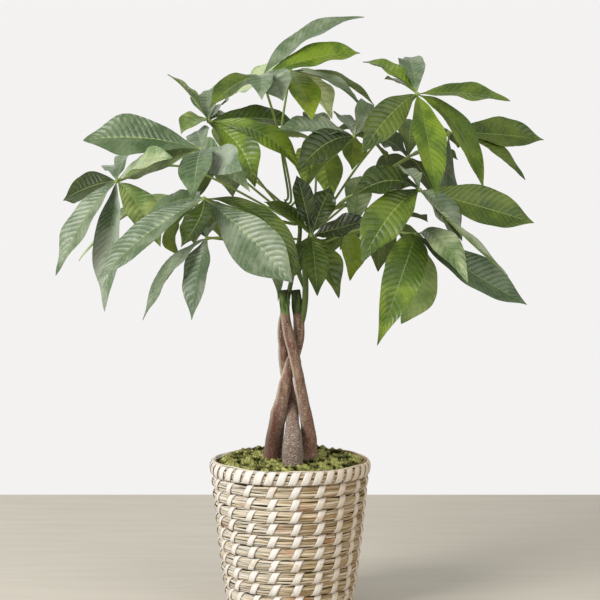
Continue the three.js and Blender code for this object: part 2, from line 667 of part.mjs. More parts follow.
// The stalk starts square on the shoot's side, a small gap off it, and runs in a smooth curve to the hub.
function stalk(leaf, hub) {
  const knots = SHOOTS[leaf.bearer];
  const middles = knots.map(([u, v, depth]) => at(u, v, depth));
  const path = new THREE.CatmullRomCurve3(middles, false, "centripetal");
  const foot = path.getPoint(leaf.height);
  const ahead = path.getTangent(leaf.height);
  const towards = (leaf.via ? at(...leaf.via) : hub).clone().sub(foot);
  const outward = towards.clone().addScaledVector(ahead, -towards.dot(ahead)).normalize();
  const along = leaf.height * (knots.length - 1);
  const knot = Math.min(Math.floor(along), knots.length - 2);
  const radius = THREE.MathUtils.lerp(knots[knot][3], knots[knot + 1][3], along - knot);
  const start = foot.clone().addScaledVector(outward, radius + GAP + FACET_GAP);
  const rise = start.clone().addScaledVector(outward, STALK_RISE);
  const points = [start, rise, ...(leaf.via ? [at(...leaf.via)] : []), hub];
  const radii = points.map((point, i) => (i < 2 ? STALK_FOOT : STALK_RADIUS));
  return solid(tube(points, radii, STALK_SIDES, STALK_STEPS));
}

function wholeLeaf(leaf) {
  const hub = at(...leaf.hub);
  const knuckle = new THREE.OctahedronGeometry(HUB_RADIUS, 0).translate(hub.x, hub.y, hub.z);
  return join([solid(knuckle), stalk(leaf, hub), ...leaf.leaflets.map((part) => leaflet(hub, part))]);
}

for (const [name, leaf] of Object.entries(LEAVES)) {
  place(name, wholeLeaf(leaf), LOOKS.leaf);
}

export default plant;
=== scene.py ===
import math
import random

import bmesh
import bpy
from mathutils import Matrix, Vector, noise


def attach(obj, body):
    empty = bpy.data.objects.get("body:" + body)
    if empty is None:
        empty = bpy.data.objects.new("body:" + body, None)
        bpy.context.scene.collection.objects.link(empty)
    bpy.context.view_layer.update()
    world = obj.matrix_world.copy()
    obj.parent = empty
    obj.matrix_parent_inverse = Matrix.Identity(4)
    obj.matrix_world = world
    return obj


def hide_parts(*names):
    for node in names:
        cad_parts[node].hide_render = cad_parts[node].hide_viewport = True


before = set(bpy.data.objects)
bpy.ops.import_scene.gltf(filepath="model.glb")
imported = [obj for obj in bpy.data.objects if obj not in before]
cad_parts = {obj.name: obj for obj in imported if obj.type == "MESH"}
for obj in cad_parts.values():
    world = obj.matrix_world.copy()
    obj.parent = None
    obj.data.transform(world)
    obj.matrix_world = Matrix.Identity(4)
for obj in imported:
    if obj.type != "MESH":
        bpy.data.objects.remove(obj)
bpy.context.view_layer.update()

# CAMERA
# It stands where the photograph was taken from: 2 m in front of the pot and a little above the crown's
# middle, looking 4.62 degrees down.
VIEW_PIXELS = 600
VIEW_FOCAL = 1905
VIEW_PITCH = math.radians(4.62)
EYE = Vector((0.0105, -2.0, 0.489))
SENSOR = 36

camera = bpy.data.objects.new("camera", bpy.data.cameras.new("camera"))
camera.data.sensor_width = SENSOR
camera.data.lens = SENSOR * VIEW_FOCAL / VIEW_PIXELS
camera.location = EYE
camera.rotation_euler = (math.pi / 2 - VIEW_PITCH, 0, 0)
bpy.context.scene.collection.objects.link(camera)
bpy.context.scene.camera = camera

# LIGHT AND FLOOR
# Bright, even light: one large soft light from the left, a weaker one from the right, and one from behind the
# crown that lets the thin leaves glow. The pale floor ends behind the pot.
LIGHTS = {
    "left_light": dict(place=(-1.7, -1.4, 1.5), size=1.2, power=64, colour=(1.0, 0.99, 0.975)),
    "right_light": dict(place=(1.5, -1.7, 1.1), size=1.6, power=20, colour=(1.0, 0.99, 0.975)),
    "back_light": dict(place=(-0.7, 1.9, 1.6), size=2.2, power=12, colour=(1.0, 1.0, 0.97)),
}
LIGHT_TARGET = Vector((0, 0, 0.36))
PLAIN_COLOUR = (0.9, 0.89, 0.885, 1)
PLAIN_BRIGHTNESS = 1
AMBIENT_COLOUR = (1.0, 0.985, 0.965, 1)
AMBIENT_BRIGHTNESS = 0.46
FLOOR_WIDTH = 3.2
FLOOR_FRONT = -2.2
FLOOR_BACK = 0.65
FLOOR_COLOURS = ((187, 181, 167), (206, 200, 188))


def shade(red, green, blue):
    """A colour given in the 0 to 255 steps of a colour picker, as a material takes it."""
    steps = [step / 255 for step in (red, green, blue)]
    return (*[s / 12.92 if s <= 0.04045 else ((s + 0.055) / 1.055) ** 2.4 for s in steps], 1)


def put(tree, kind, inputs=None, **settings):
    """A node of `kind`, with its settings, and its inputs given as values or as other nodes' sockets."""
    made = tree.nodes.new("ShaderNode" + kind)
    for key, value in settings.items():
        setattr(made, key, value)
    for key, value in (inputs or {}).items():
        if isinstance(value, bpy.types.NodeSocket):
            tree.links.new(value, made.inputs[key])
        else:
            made.inputs[key].default_value = value
    return made


def blend(tree, share, first, second, mode="MIX"):
    """The colour `share` of the way from the first to the second, or the two put together by `mode`."""
    made = put(tree, "Mix", {0: share, 6: first, 7: second}, data_type="RGBA", blend_type=mode)
    return made.outputs[2]


def stretch(tree, scale=(1, 1, 1)):
    """The piece's own coordinates, stretched along each axis."""
    place = put(tree, "TexCoord").outputs["Object"]
    return put(tree, "Mapping", {"Vector": place, "Scale": scale}).outputs["Vector"]


def speckle(tree, where, scale, detail=3, roughness=0.55):
    """A noise texture's value over the coordinates `where`."""
    made = put(tree, "TexNoise", {"Vector": where, "Scale": scale, "Detail": detail, "Roughness": roughness})
    return made.outputs["Fac"]


def finish(name, roughness, specular=0.5):
    """A new material, its node tree and its Principled shader."""
    made = bpy.data.materials.new(name)
    made.use_nodes = True
    shader = made.node_tree.nodes["Principled BSDF"]
    shader.inputs["Roughness"].default_value = roughness
    shader.inputs["Specular IOR Level"].default_value = specular
    return made, made.node_tree, shader


def paint(tree, shader, colour):
    """Gives the shader its colour."""
    tree.links.new(colour, shader.inputs["Base Color"])


for name, lamp in LIGHTS.items():
    light = bpy.data.objects.new(name, bpy.data.lights.new(name, "AREA"))
    light.data.size = lamp["size"]
    light.data.energy = lamp["power"]
    light.data.color = lamp["colour"]
    light.location = lamp["place"]
    light.rotation_euler = (LIGHT_TARGET - light.location).to_track_quat("-Z", "Y").to_euler()
    bpy.context.scene.collection.objects.link(light)

surround = bpy.data.worlds.new("surround")
surround.use_nodes = True
tree = surround.node_tree
plain = tree.nodes["Background"]
plain.inputs["Color"].default_value = PLAIN_COLOUR
plain.inputs["Strength"].default_value = PLAIN_BRIGHTNESS
ambient = put(tree, "Background", {"Color": AMBIENT_COLOUR, "Strength": AMBIENT_BRIGHTNESS})
seen = put(tree, "MixShader", {0: put(tree, "LightPath").outputs["Is Camera Ray"]})
tree.links.new(ambient.outputs[0], seen.inputs[1])
tree.links.new(plain.outputs[0], seen.inputs[2])
tree.links.new(seen.outputs[0], tree.nodes["World Output"].inputs["Surface"])
bpy.context.scene.world = surround
bpy.context.scene.view_settings.view_transform = "Standard"

floor_finish, tree, shader = finish("pale_floor", 0.7)
grain = speckle(tree, stretch(tree, (2, 18, 2)), 3, detail=4)
paint(tree, shader, blend(tree, grain, *[shade(*colour) for colour in FLOOR_COLOURS]))
sketch = bmesh.new()
bmesh.ops.create_grid(sketch, x_segments=1, y_segments=1, size=0.5)
bmesh.ops.scale(sketch, vec=(FLOOR_WIDTH, FLOOR_BACK - FLOOR_FRONT, 1), verts=sketch.verts)
bmesh.ops.translate(sketch, vec=(0, (FLOOR_BACK + FLOOR_FRONT) / 2, 0), verts=sketch.verts)
floor_mesh = bpy.data.meshes.new("floor")
sketch.to_mesh(floor_mesh)
sketch.free()
floor_mesh.materials.append(floor_finish)
floor = bpy.data.objects.new("floor", floor_mesh)
bpy.context.scene.collection.objects.link(floor)

# LINER AND SOIL
# A plain black nursery pot stands inside the basket and keeps the wet potting soil off the grass. Both are
# the CAD solids, out of sight under the moss, with finishes of their own.
MM = 0.001


def relief(tree, shader, height, strength, distance):
    """Raises and sinks the surface's shading by `height`."""
    bump = put(tree, "Bump", {"Height": height, "Strength": strength, "Distance": distance})
    tree.links.new(bump.outputs["Normal"], shader.inputs["Normal"])


liner_finish, tree, shader = finish("nursery_plastic", 0.5)
scuffs = speckle(tree, stretch(tree), 90, detail=5)
paint(tree, shader, blend(tree, scuffs, shade(24, 25, 26), shade(44, 45, 46)))
relief(tree, shader, scuffs, 0.2, 0.3 * MM)

soil_finish, tree, shader = finish("potting_soil", 0.95, specular=0.2)
crumbs = speckle(tree, stretch(tree), 320, detail=6, roughness=0.7)
paint(tree, shader, blend(tree, crumbs, shade(28, 19, 13), shade(84, 62, 44)))
relief(tree, shader, crumbs, 0.8, 1.5 * MM)

for node, material in (("liner", liner_finish), ("soil", soil_finish)):
    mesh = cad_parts[node].data
    mesh.materials.clear()
    mesh.materials.append(material)

# BASKET
# A coiled basket: bundles of dried seagrass blades laid course on course, flared a little towards a thicker
# rim bundle. Each course is a bundle of flat blades round a packed core, sewn to the one below.
COURSES = 11
COURSE_HEIGHT = 13 * MM
RIM_HEIGHT = 16 * MM
RIM_FOOT = COURSES * COURSE_HEIGHT
BASKET_HEIGHT = RIM_FOOT + RIM_HEIGHT
FOOT_RADIUS = 65 * MM
TOP_RADIUS = 84 * MM
FLARE_HEIGHT = 150 * MM
FLARE = 0.75
BASKET_WALL = 9 * MM
BASKET_FLOOR = 9 * MM
RIM_RADIUS = 84.7 * MM
RIM_INNER_RADIUS = 76.6 * MM
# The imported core: how deep the groove between two courses is, how far the core stays behind the blades,
# half the height of its flat in a course, and its shoulder and top under the rim.
CORE_DEPTH = 3.2 * MM
CORE_INSET = 1.6 * MM
CORE_FLAT = 3 * MM
CORE_SHOULDER = 4 * MM
CORE_SHOULDER_DROP = 6 * MM
CORE_TOP_DROP = 3 * MM
CORE_INSIDE = 2 * MM
CORE_INSIDE_DROP = 5 * MM
WALL_BEND = 60 * MM
COIL_STEPS = 132
COURSE_BLADES = 9
COURSE_FAN = (-84, 84)
RIM_BLADES = 12
RIM_FAN = (-75, 180)
BLADE_WIDE = 1.3 * MM
BLADE_THICK = 0.7 * MM
BLADE_SIDES = 6
# How far a blade swings out, and up and down, how often on its way round, and what sets its swings apart.
BLADE_WANDER = 0.9 * MM
BLADE_DRIFT = 2 * MM
BLADE_SWINGS = 2.4
BLADE_APART = 40
DRIFT_APART = Vector((0, 0, 50))
COURSE_REACH = 4.2 * MM
COURSE_RISE = 5.6 * MM
RIM_REACH = 3.3 * MM
RIM_RISE = 6.9 * MM
RIM_MIDDLE = 7.9 * MM
STRAY_BLADES = 34
STRAY_LONG = (9 * MM, 20 * MM)
STRAY_ROOT = 0.7 * MM
STRAY_TIP = 0.15 * MM
STRAY_SIDES = 5
STRAY_LIE = (60, 110)
STRAY_TWIST = 6
STRAY_FLATNESS = 0.5
STRAY_LIFT = 0.2 * MM


def figure(tree, operation, *values):
    """One Math node's result."""
    return put(tree, "Math", dict(enumerate(values)), operation=operation).outputs[0]


def times(tree, value, other):
    """The two values multiplied."""
    return put(tree, "Math", {0: value, 1: other}, operation="MULTIPLY").outputs[0]


def step_up(tree, value, low, high):
    """0 below `low`, 1 above `high`, and a smooth rise between them."""
    return put(tree, "MapRange", {0: value, 1: low, 2: high}, interpolation_type="SMOOTHSTEP").outputs[0]


def tint(tree, colour, other, share, most):
    """The colour drawn towards another one by `share`, and by no more than `most`."""
    return blend(tree, times(tree, share, most), colour, other)


def axes(tree, vector):
    """A vector's three numbers."""
    return put(tree, "SeparateXYZ", {"Vector": vector}).outputs


def placing(tree):
    """Where a point of the piece lies: X to the right of the pot's middle, and Z above the basket's foot."""
    return axes(tree, put(tree, "TexCoord").outputs["Object"])


def marks(tree, name):
    """The numbers that the points of a piece carry under a name, as red, green and blue."""
    own = put(tree, "Attribute", attribute_name=name).outputs["Color"]
    return put(tree, "SeparateColor", {"Color": own}).outputs


def piece(name, sketch, materials, node):
    """Turns a finished bmesh into the piece that stands for a CAD node."""
    mesh = bpy.data.meshes.new(name)
    for face in sketch.faces:
        face.smooth = True
    sketch.to_mesh(mesh)
    sketch.free()
    for material in materials:
        mesh.materials.append(material)
    made = bpy.data.objects.new(name, mesh)
    bpy.context.scene.collection.objects.link(made)
    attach(made, "root")
    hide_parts(node)


def fan(first, last, steps):
    """Angles in even steps between two that are given in degrees."""
    return [math.radians(first + (last - first) * step / steps) for step in range(steps + 1)]


def arc(radius, reach, height, rise, tilts):
    """Radius and height at each tilt over a bundle that is `reach` deep and stands out to `radius`."""
    return [(radius - reach + reach * math.cos(tilt), height + rise * math.sin(tilt)) for tilt in tilts]


def crest_radius(height):
    """How far the courses reach at a height: flared quickly above the foot, nearly upright under the rim."""
    return FOOT_RADIUS + (TOP_RADIUS - FOOT_RADIUS) * (max(height, 0) / FLARE_HEIGHT) ** FLARE


def inner_radius(height):
    """How far the inside of the wall lies from the middle at a height."""
    return min(crest_radius(height) - BASKET_WALL, RIM_INNER_RADIUS)


def core_outline():
    """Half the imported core, cut through: its radius and height, from the foot's middle to the floor's."""
    outline = [(0, 0), (FOOT_RADIUS - CORE_DEPTH, 0)]
    for course in range(COURSES):
        middle = (course + 0.5) * COURSE_HEIGHT
        top = (course + 1) * COURSE_HEIGHT
        crest = crest_radius(middle) - CORE_INSET
        outline += [(crest, middle - CORE_FLAT), (crest, middle + CORE_FLAT)]
        outline += [(crest_radius(top) - CORE_DEPTH - CORE_INSET, top)]
    outline += [(RIM_RADIUS - CORE_INSET, RIM_FOOT + CORE_FLAT)]
    outline += [(RIM_RADIUS - CORE_INSET, BASKET_HEIGHT - CORE_SHOULDER_DROP)]
    outline += [(RIM_RADIUS - CORE_SHOULDER, BASKET_HEIGHT - CORE_TOP_DROP)]
    outline += [(RIM_INNER_RADIUS + CORE_INSIDE, BASKET_HEIGHT - CORE_TOP_DROP)]
    for height in (BASKET_HEIGHT - CORE_INSIDE_DROP, WALL_BEND, BASKET_FLOOR):
        outline += [(inner_radius(height), height)]
    return outline + [(0, BASKET_FLOOR)]


def blade_section(sketch, layer, radius, height, tilt, chance):
    """Where one flat seagrass blade is cut through, turned to face out of the bundle, with its own colour."""
    turn = Matrix.Rotation(-tilt, 4, "Y") @ Matrix.Rotation(math.pi / 2, 4, "X")
    section = bmesh.ops.create_circle(sketch, segments=BLADE_SIDES, radius=1)["verts"]
    bmesh.ops.scale(sketch, vec=(BLADE_THICK, BLADE_WIDE, 1), verts=section)
    bmesh.ops.transform(sketch, matrix=Matrix.Translation((radius, 0, height)) @ turn, verts=section)
    own = (chance.random(), chance.random(), chance.random(), 1)
    for corner in section:
        corner[layer] = own


def let_blades_wander(sketch, layer):
    """Each blade swings in and out and up and down a little on its way round."""
    for corner in sketch.verts:
        own = corner[layer]
        if own[3]:
            way = Vector((corner.co.x, corner.co.y, 0)).normalized()
            spot = way * BLADE_SWINGS + Vector((own[0], own[1], own[2])) * BLADE_APART
            corner.co += way * noise.noise(spot) * BLADE_WANDER
            corner.co.z += noise.noise(spot + DRIFT_APART) * BLADE_DRIFT


def stray_blade(sketch, layer, chance):
    """A short end of a blade that has come out of its course."""
    height = (chance.randrange(COURSES) + chance.uniform(0.3, 0.7)) * COURSE_HEIGHT
    bearing = chance.uniform(0, 2 * math.pi)
    sliver = bmesh.ops.create_cone(sketch, cap_ends=True, segments=STRAY_SIDES, radius1=STRAY_ROOT,
                                   radius2=STRAY_TIP, depth=chance.uniform(*STRAY_LONG))["verts"]
    outward = Matrix.Translation((crest_radius(height) + STRAY_LIFT, 0, height))
    lie = Matrix.Rotation(math.radians(chance.uniform(*STRAY_LIE)), 4, "X")
    twist = Matrix.Rotation(math.radians(chance.uniform(-STRAY_TWIST, STRAY_TWIST)), 4, "Y")
    flat = Matrix.Scale(STRAY_FLATNESS, 4, (1, 0, 0))
    place = Matrix.Rotation(bearing, 4, "Z") @ outward @ lie @ twist @ flat
    bmesh.ops.transform(sketch, matrix=place, verts=sliver)
    own = (chance.uniform(0.3, 1), chance.random(), chance.random(), 1)
    for corner in sliver:
        corner[layer] = own


def seagrass_finish():
    """Dried grass: straw, tan and olive blades, streaked and rusty in patches, paler towards the left as
    painted light, browner towards the right as painted shade, and the core in the gaps painted near black as
    painted shade.
    """
    made, tree, shader = finish("dried_seagrass", 0.75, specular=0.25)
    own = marks(tree, "blade")
    on_blade = put(tree, "Attribute", attribute_name="blade").outputs["Alpha"]
    across = placing(tree)["X"]
    streaks = speckle(tree, stretch(tree, (34, 34, 1100)), 1, detail=5, roughness=0.65)
    patches = speckle(tree, stretch(tree, (24, 24, 60)), 1)
    hue = times(tree, figure(tree, "ADD", own["Red"], streaks), 0.6)
    ramp = put(tree, "ValToRGB", {"Fac": hue})
    stops = ramp.color_ramp.elements
    stops[0].position, stops[0].color = 0.2, shade(92, 76, 50)
    stops[1].position, stops[1].color = 0.95, shade(230, 222, 204)
    straws = ((0.38, (150, 130, 94)), (0.56, (182, 162, 126)), (0.76, (206, 190, 160)))
    for position, straw in straws:
        stops.new(position).color = shade(*straw)
    rusted = step_up(tree, own["Green"], 0.35, 0.7)
    rust = times(tree, step_up(tree, patches, 0.54, 0.68), rusted)
    colour = tint(tree, ramp.outputs["Color"], shade(166, 112, 66), rust, 0.8)
    unripe = step_up(tree, own["Blue"], 0.4, 0.8)
    olive = times(tree, step_up(tree, patches, 0.46, 0.3), unripe)
    colour = blend(tree, olive, colour, shade(118, 112, 76))
    # Painted light: grey-white streaks towards the left, the side facing the left light.
    lit_streaks = step_up(tree, streaks, 0.35, 0.6)
    painted_light_left = times(tree, step_up(tree, across, 0.03, -0.06), lit_streaks)
    colour = tint(tree, colour, shade(212, 210, 204), painted_light_left, 0.7)
    # Painted shade: browner and darker towards the right, away from the light.
    colour = tint(tree, colour, shade(146, 116, 78), step_up(tree, across, 0, 0.07), 0.4)
    # Painted shade: the core, seen only in the gaps between blades, is painted near black.
    paint(tree, shader, blend(tree, on_blade, shade(46, 36, 22), colour))
    relief(tree, shader, streaks, 0.6, 0.6 * MM)
    return made


chance = random.Random(4)
sketch = bmesh.new()
blade_layer = sketch.verts.layers.float_color.new("blade")
# The core's points carry no blade mark, and the finish paints them near black as painted shade.
line = [sketch.verts.new((radius, 0, height)) for radius, height in core_outline()]
for corner in line:
    corner[blade_layer] = (0.1, 0, 0, 0)
for pair in zip(line, line[1:]):
    sketch.edges.new(pair)
tilts = fan(*COURSE_FAN, COURSE_BLADES - 1)
for course in range(COURSES):
    height = (course + 0.5) * COURSE_HEIGHT
    bundle = arc(crest_radius(height) - BLADE_THICK, COURSE_REACH, height, COURSE_RISE, tilts)
    for (radius, level), tilt in zip(bundle, tilts):
        blade_section(sketch, blade_layer, radius, level, tilt, chance)
tilts = fan(*RIM_FAN, RIM_BLADES - 1)
bundle = arc(RIM_RADIUS - BLADE_THICK, RIM_REACH, RIM_FOOT + RIM_MIDDLE, RIM_RISE, tilts)
for (radius, level), tilt in zip(bundle, tilts):
    blade_section(sketch, blade_layer, radius, level, tilt, chance)
bmesh.ops.spin(sketch, geom=sketch.verts[:] + sketch.edges[:], cent=(0, 0, 0), axis=(0, 0, 1), dvec=(0, 0, 0),
               angle=2 * math.pi, steps=COIL_STEPS, use_merge=True)
bmesh.ops.remove_doubles(sketch, verts=sketch.verts, dist=0.002 * MM)
let_blades_wander(sketch, blade_layer)
bmesh.ops.recalc_face_normals(sketch, faces=sketch.faces)
for stray in range(STRAY_BLADES):
    stray_blade(sketch, blade_layer, chance)
piece("woven_basket", sketch, [seagrass_finish()], "basket")

# STITCHING
# Bleached, flattened leaf strips about 8 mm wide. One is wound round the rim bundle, turn beside turn, and
# others sew each course to the next in slanting stitches that stand over one another in 20 columns.
STRIP_CELLS = 4
STRIP_THICK = 0.8 * MM
STRIP_LIFT = 0.35 * MM
STRIP_EDGE_LIFT = 0.5 * MM
STRIP_CROWN = 0.25 * MM
# The rim's turns: how many, how far each leans, its width in mm and how much narrower it is at the right.
RIM_TURNS = 42
RIM_LEAN = 11 * MM
RIM_STRIP_WIDTH = 9.6
RIM_STRIP_NARROWING = 1.3
RIM_STRIP_FAN = (-88, 168)
RIM_STRIP_STEPS = 10
RIM_STRIP_RISE = 7.2 * MM
STITCH_COLUMNS = 20
STITCH_OFFSET = 0.25
STITCH_LEAN = 10 * MM
STITCH_WIDTH = 8.4 * MM
STITCH_FAN = (-104, 104)
STITCH_STEPS = 8
STITCH_RISE = 6.6 * MM
STITCH_WANDER = 0.9 * MM


def strip(sketch, layer, bearing, section, lean, width, chance):
    """A flat strip laid over `section`, a line of radius and height, that leans to the right as it rises."""
    along = len(section) - 1
    own = (chance.random(), chance.random(), 0, 1)
    cells = bmesh.ops.create_grid(sketch, x_segments=STRIP_CELLS, y_segments=along, size=1, calc_uvs=True)
    for corner in cells["verts"]:
        share = (corner.co.y + 1) / 2
        radius, height = section[round(share * along)]
        across = corner.co.x
        crown = STRIP_EDGE_LIFT * (0.5 + 0.5 * across) + STRIP_CROWN * (1 - across * across)
        angle = bearing + (lean * (share - 0.5) + across * width / 2) / radius
        reach = radius + STRIP_LIFT + crown
        corner.co = (reach * math.cos(angle), reach * math.sin(angle), height)
        corner[layer] = own


def strip_finish():
    """Bleached leaf: cream with fine lines along it and straw-coloured stains, its edges darkened as painted
    shadow and strips towards the right darker as painted shade.
    """
    made, tree, shader = finish("bleached_strip", 0.62, specular=0.3)
    own = marks(tree, "strip")
    lay = put(tree, "UVMap", uv_map="lay").outputs["UV"]
    run = put(tree, "Mapping", {"Vector": lay, "Scale": (9, 0.8, 1)})
    offset = put(tree, "VectorMath", {0: run.outputs["Vector"], 1: own["Red"]}, operation="ADD")
    lines = speckle(tree, offset.outputs["Vector"], 2.4, detail=4)
    stains = speckle(tree, stretch(tree), 70)
    colour = blend(tree, step_up(tree, lines, 0.3, 0.7), shade(206, 199, 187), shade(233, 230, 226))
    straw = times(tree, own["Green"], 0.7)
    colour = tint(tree, colour, shade(192, 168, 132), step_up(tree, stains, 0.52, 0.72), straw)
    # Painted shadow: the strip's edges are darkened where it meets the bundle beneath.
    across = figure(tree, "MULTIPLY_ADD", axes(tree, lay)["X"], 2, -1)
    edge = step_up(tree, figure(tree, "ABSOLUTE", across), 0.82, 0.98)
    colour = tint(tree, colour, shade(92, 72, 48), edge, 0.8)
    # Painted shade: strips towards the right, away from the light, are darker and browner.
    colour = tint(tree, colour, shade(196, 174, 142), step_up(tree, placing(tree)["X"], 0, 0.07), 0.6)
    paint(tree, shader, colour)
    relief(tree, shader, lines, 0.4, 0.3 * MM)
    return made


chance = random.Random(9)
sketch = bmesh.new()
sketch.loops.layers.uv.new("lay")
strip_layer = sketch.verts.layers.float_color.new("strip")
for turn in range(RIM_TURNS):
    bearing = 2 * math.pi * turn / RIM_TURNS + chance.uniform(-0.5, 0.5) * MM / RIM_RADIUS
    tilts = fan(*RIM_STRIP_FAN, RIM_STRIP_STEPS)
    section = arc(RIM_RADIUS, RIM_REACH, RIM_FOOT + RIM_MIDDLE, RIM_STRIP_RISE, tilts)
    width = (RIM_STRIP_WIDTH - RIM_STRIP_NARROWING * math.cos(bearing) + chance.uniform(-0.6, 0.6)) * MM
    lean = RIM_LEAN + chance.uniform(-1, 1) * MM
    strip(sketch, strip_layer, bearing, section, lean, width, chance)
for column in range(STITCH_COLUMNS):
    wander = 0
    for course in reversed(range(COURSES)):
        height = (course + 0.5) * COURSE_HEIGHT
        crest = crest_radius(height)
        wander += chance.uniform(-1, 1) * STITCH_WANDER
        bearing = 2 * math.pi * (column + STITCH_OFFSET) / STITCH_COLUMNS + wander / crest
        section = arc(crest, COURSE_REACH, height, STITCH_RISE, fan(*STITCH_FAN, STITCH_STEPS))
        width = STITCH_WIDTH + chance.uniform(-0.7, 0.5) * MM
        lean = STITCH_LEAN + chance.uniform(-1.2, 1.2) * MM
        strip(sketch, strip_layer, bearing, section, lean, width, chance)
sketch.normal_update()
bmesh.ops.solidify(sketch, geom=sketch.faces[:], thickness=STRIP_THICK)
piece("strip_stitching", sketch, [strip_finish()], "stitching")

# MOSS
# Preserved sheet moss pressed over the soil up to the rim: lumps of short yellow-green shoots with dark
# hollows between them.
MOSS_FOOT = 145.3 * MM
MOSS_TOP = 153.5 * MM
MOSS_RADIUS = 75.8 * MM
MOSS_CELLS = 150
# In mm: the heap at the back, the drop at the wall, and how high and how far apart lumps and fronds are.
MOSS_HEAP = 11
MOSS_EDGE = 0.88
MOSS_EDGE_DROP = 2
MOSS_EDGE_HEAP = 0.65
LUMP_HIGH, LUMP_APART = 2.8, 13
FROND_HIGH, FROND_APART = 1.7, 9
FINE_HIGH, FINE_APART = 0.9, 4.5
FINE_OFFSET = Vector((40, 9, 0))
MOSS_COMBED = 0.5
# How light a sprig is painted: lighter with its height above the hollows and darker to the right of the pot,
# as painted shade in the hollows and on the side away from the light.
SPRIG_LIGHT = 0.16
SPRIG_LIGHT_HEIGHT = 2
SPRIG_SHADE = 0.1
SPRIG_VARY = 0.35
SPRIG_LONG = (0.2, 2.4)
SPRIG_SWAY = 1.1 * MM


def frond(spot, size):
    """Winding ridges about `size` mm apart, from -1 in the hollows to 1 on the ridges."""
    drift = noise.noise_vector(spot / (size * 2)) * size * 0.5
    return 1 - 4 * abs(noise.noise((spot + drift) / size))


def moss_height(x, y):
    """The sheet's top: heaped to the back, lumpy, with winding fronds, and sunk at the basket's wall."""
    spot = Vector((x, y * MOSS_COMBED, 0)) / MM
    lumps = LUMP_HIGH * noise.noise(spot / LUMP_APART) + FROND_HIGH * frond(spot, FROND_APART)
    lumps += FINE_HIGH * frond(spot + FINE_OFFSET, FINE_APART)
    heap = MOSS_HEAP * ((1 + y / MOSS_RADIUS) / 2) ** 2
    edge = max(0, math.hypot(x, y) / MOSS_RADIUS - MOSS_EDGE) / (1 - MOSS_EDGE)
    return MOSS_TOP + (heap + lumps - edge * (MOSS_EDGE_DROP + MOSS_EDGE_HEAP * heap)) * MM, lumps


def moss_finish():
    """Moss: yellow-green fronds over olive, nearly black in the hollows and on the right as painted shade,
    dry and brown here and there.
    """
    made, tree, shader = finish("sheet_moss", 0.95, specular=0.1)
    own = marks(tree, "sprig")
    clumps = speckle(tree, stretch(tree), 260, detail=5, roughness=0.7)
    patches = speckle(tree, stretch(tree, (1, 1, 0)), 40)
    # Painted shade: sprigs low in the hollows and towards the right take this near-black green.
    deep = blend(tree, clumps, shade(14, 16, 3), shade(52, 56, 14))
    fresh = blend(tree, own["Green"], shade(144, 152, 62), shade(226, 224, 150))
    colour = blend(tree, own["Red"], deep, fresh)
    dry = blend(tree, own["Red"], shade(54, 40, 18), shade(142, 118, 64))
    paint(tree, shader, tint(tree, colour, dry, step_up(tree, patches, 0.52, 0.68), 0.65))
    relief(tree, shader, clumps, 0.9, 1.5 * MM)
    return made


noise.seed_set(21)
chance = random.Random(21)
sketch = bmesh.new()
sprig_layer = sketch.verts.layers.float_color.new("sprig")
bmesh.ops.create_grid(sketch, x_segments=MOSS_CELLS, y_segments=MOSS_CELLS, size=1)
for corner in sketch.verts:
    x, y = corner.co.x, corner.co.y
    x, y = x * math.sqrt(1 - y * y / 2) * MOSS_RADIUS, y * math.sqrt(1 - x * x / 2) * MOSS_RADIUS
    height, lumps = moss_height(x, y)
    corner.co = (x, y, height)
    # Painted shade: darker low in the hollows and towards the right of the pot.
    light = lumps / SPRIG_LIGHT_HEIGHT + SPRIG_LIGHT - SPRIG_SHADE * x / MOSS_RADIUS
    corner[sprig_layer] = (min(max(light, 0), 1), chance.random(), 0, 1)
cells = sketch.faces[:]
skirt = bmesh.ops.extrude_edge_only(sketch, edges=[edge for edge in sketch.edges if edge.is_boundary])["geom"]
for corner in skirt:
    if isinstance(corner, bmesh.types.BMVert):
        corner.co.z = MOSS_FOOT
bmesh.ops.contextual_create(sketch, geom=[part for part in skirt if isinstance(part, bmesh.types.BMEdge)])
bmesh.ops.recalc_face_normals(sketch, faces=sketch.faces)
for tip in bmesh.ops.poke(sketch, faces=cells)["verts"]:
    out = Vector((chance.uniform(-1, 1), chance.uniform(-1, 1), 0)) * SPRIG_SWAY
    tip.co += out + Vector((0, 0, chance.uniform(*SPRIG_LONG) * MM))
    light = tip[sprig_layer][0] + chance.uniform(-SPRIG_VARY, SPRIG_VARY)
    tip[sprig_layer] = (light, chance.random(), 0, 1)
piece("sheet_moss", sketch, [moss_finish()], "moss")

# TRUNKS
# Three young stems braided round each other while they were soft, each swollen at its foot and cut off at its
# top. Grey-brown bark with pale specks gives way to green skin just under the cuts, and two of the stems
# carry the thin green shoots that the leaves grow from.

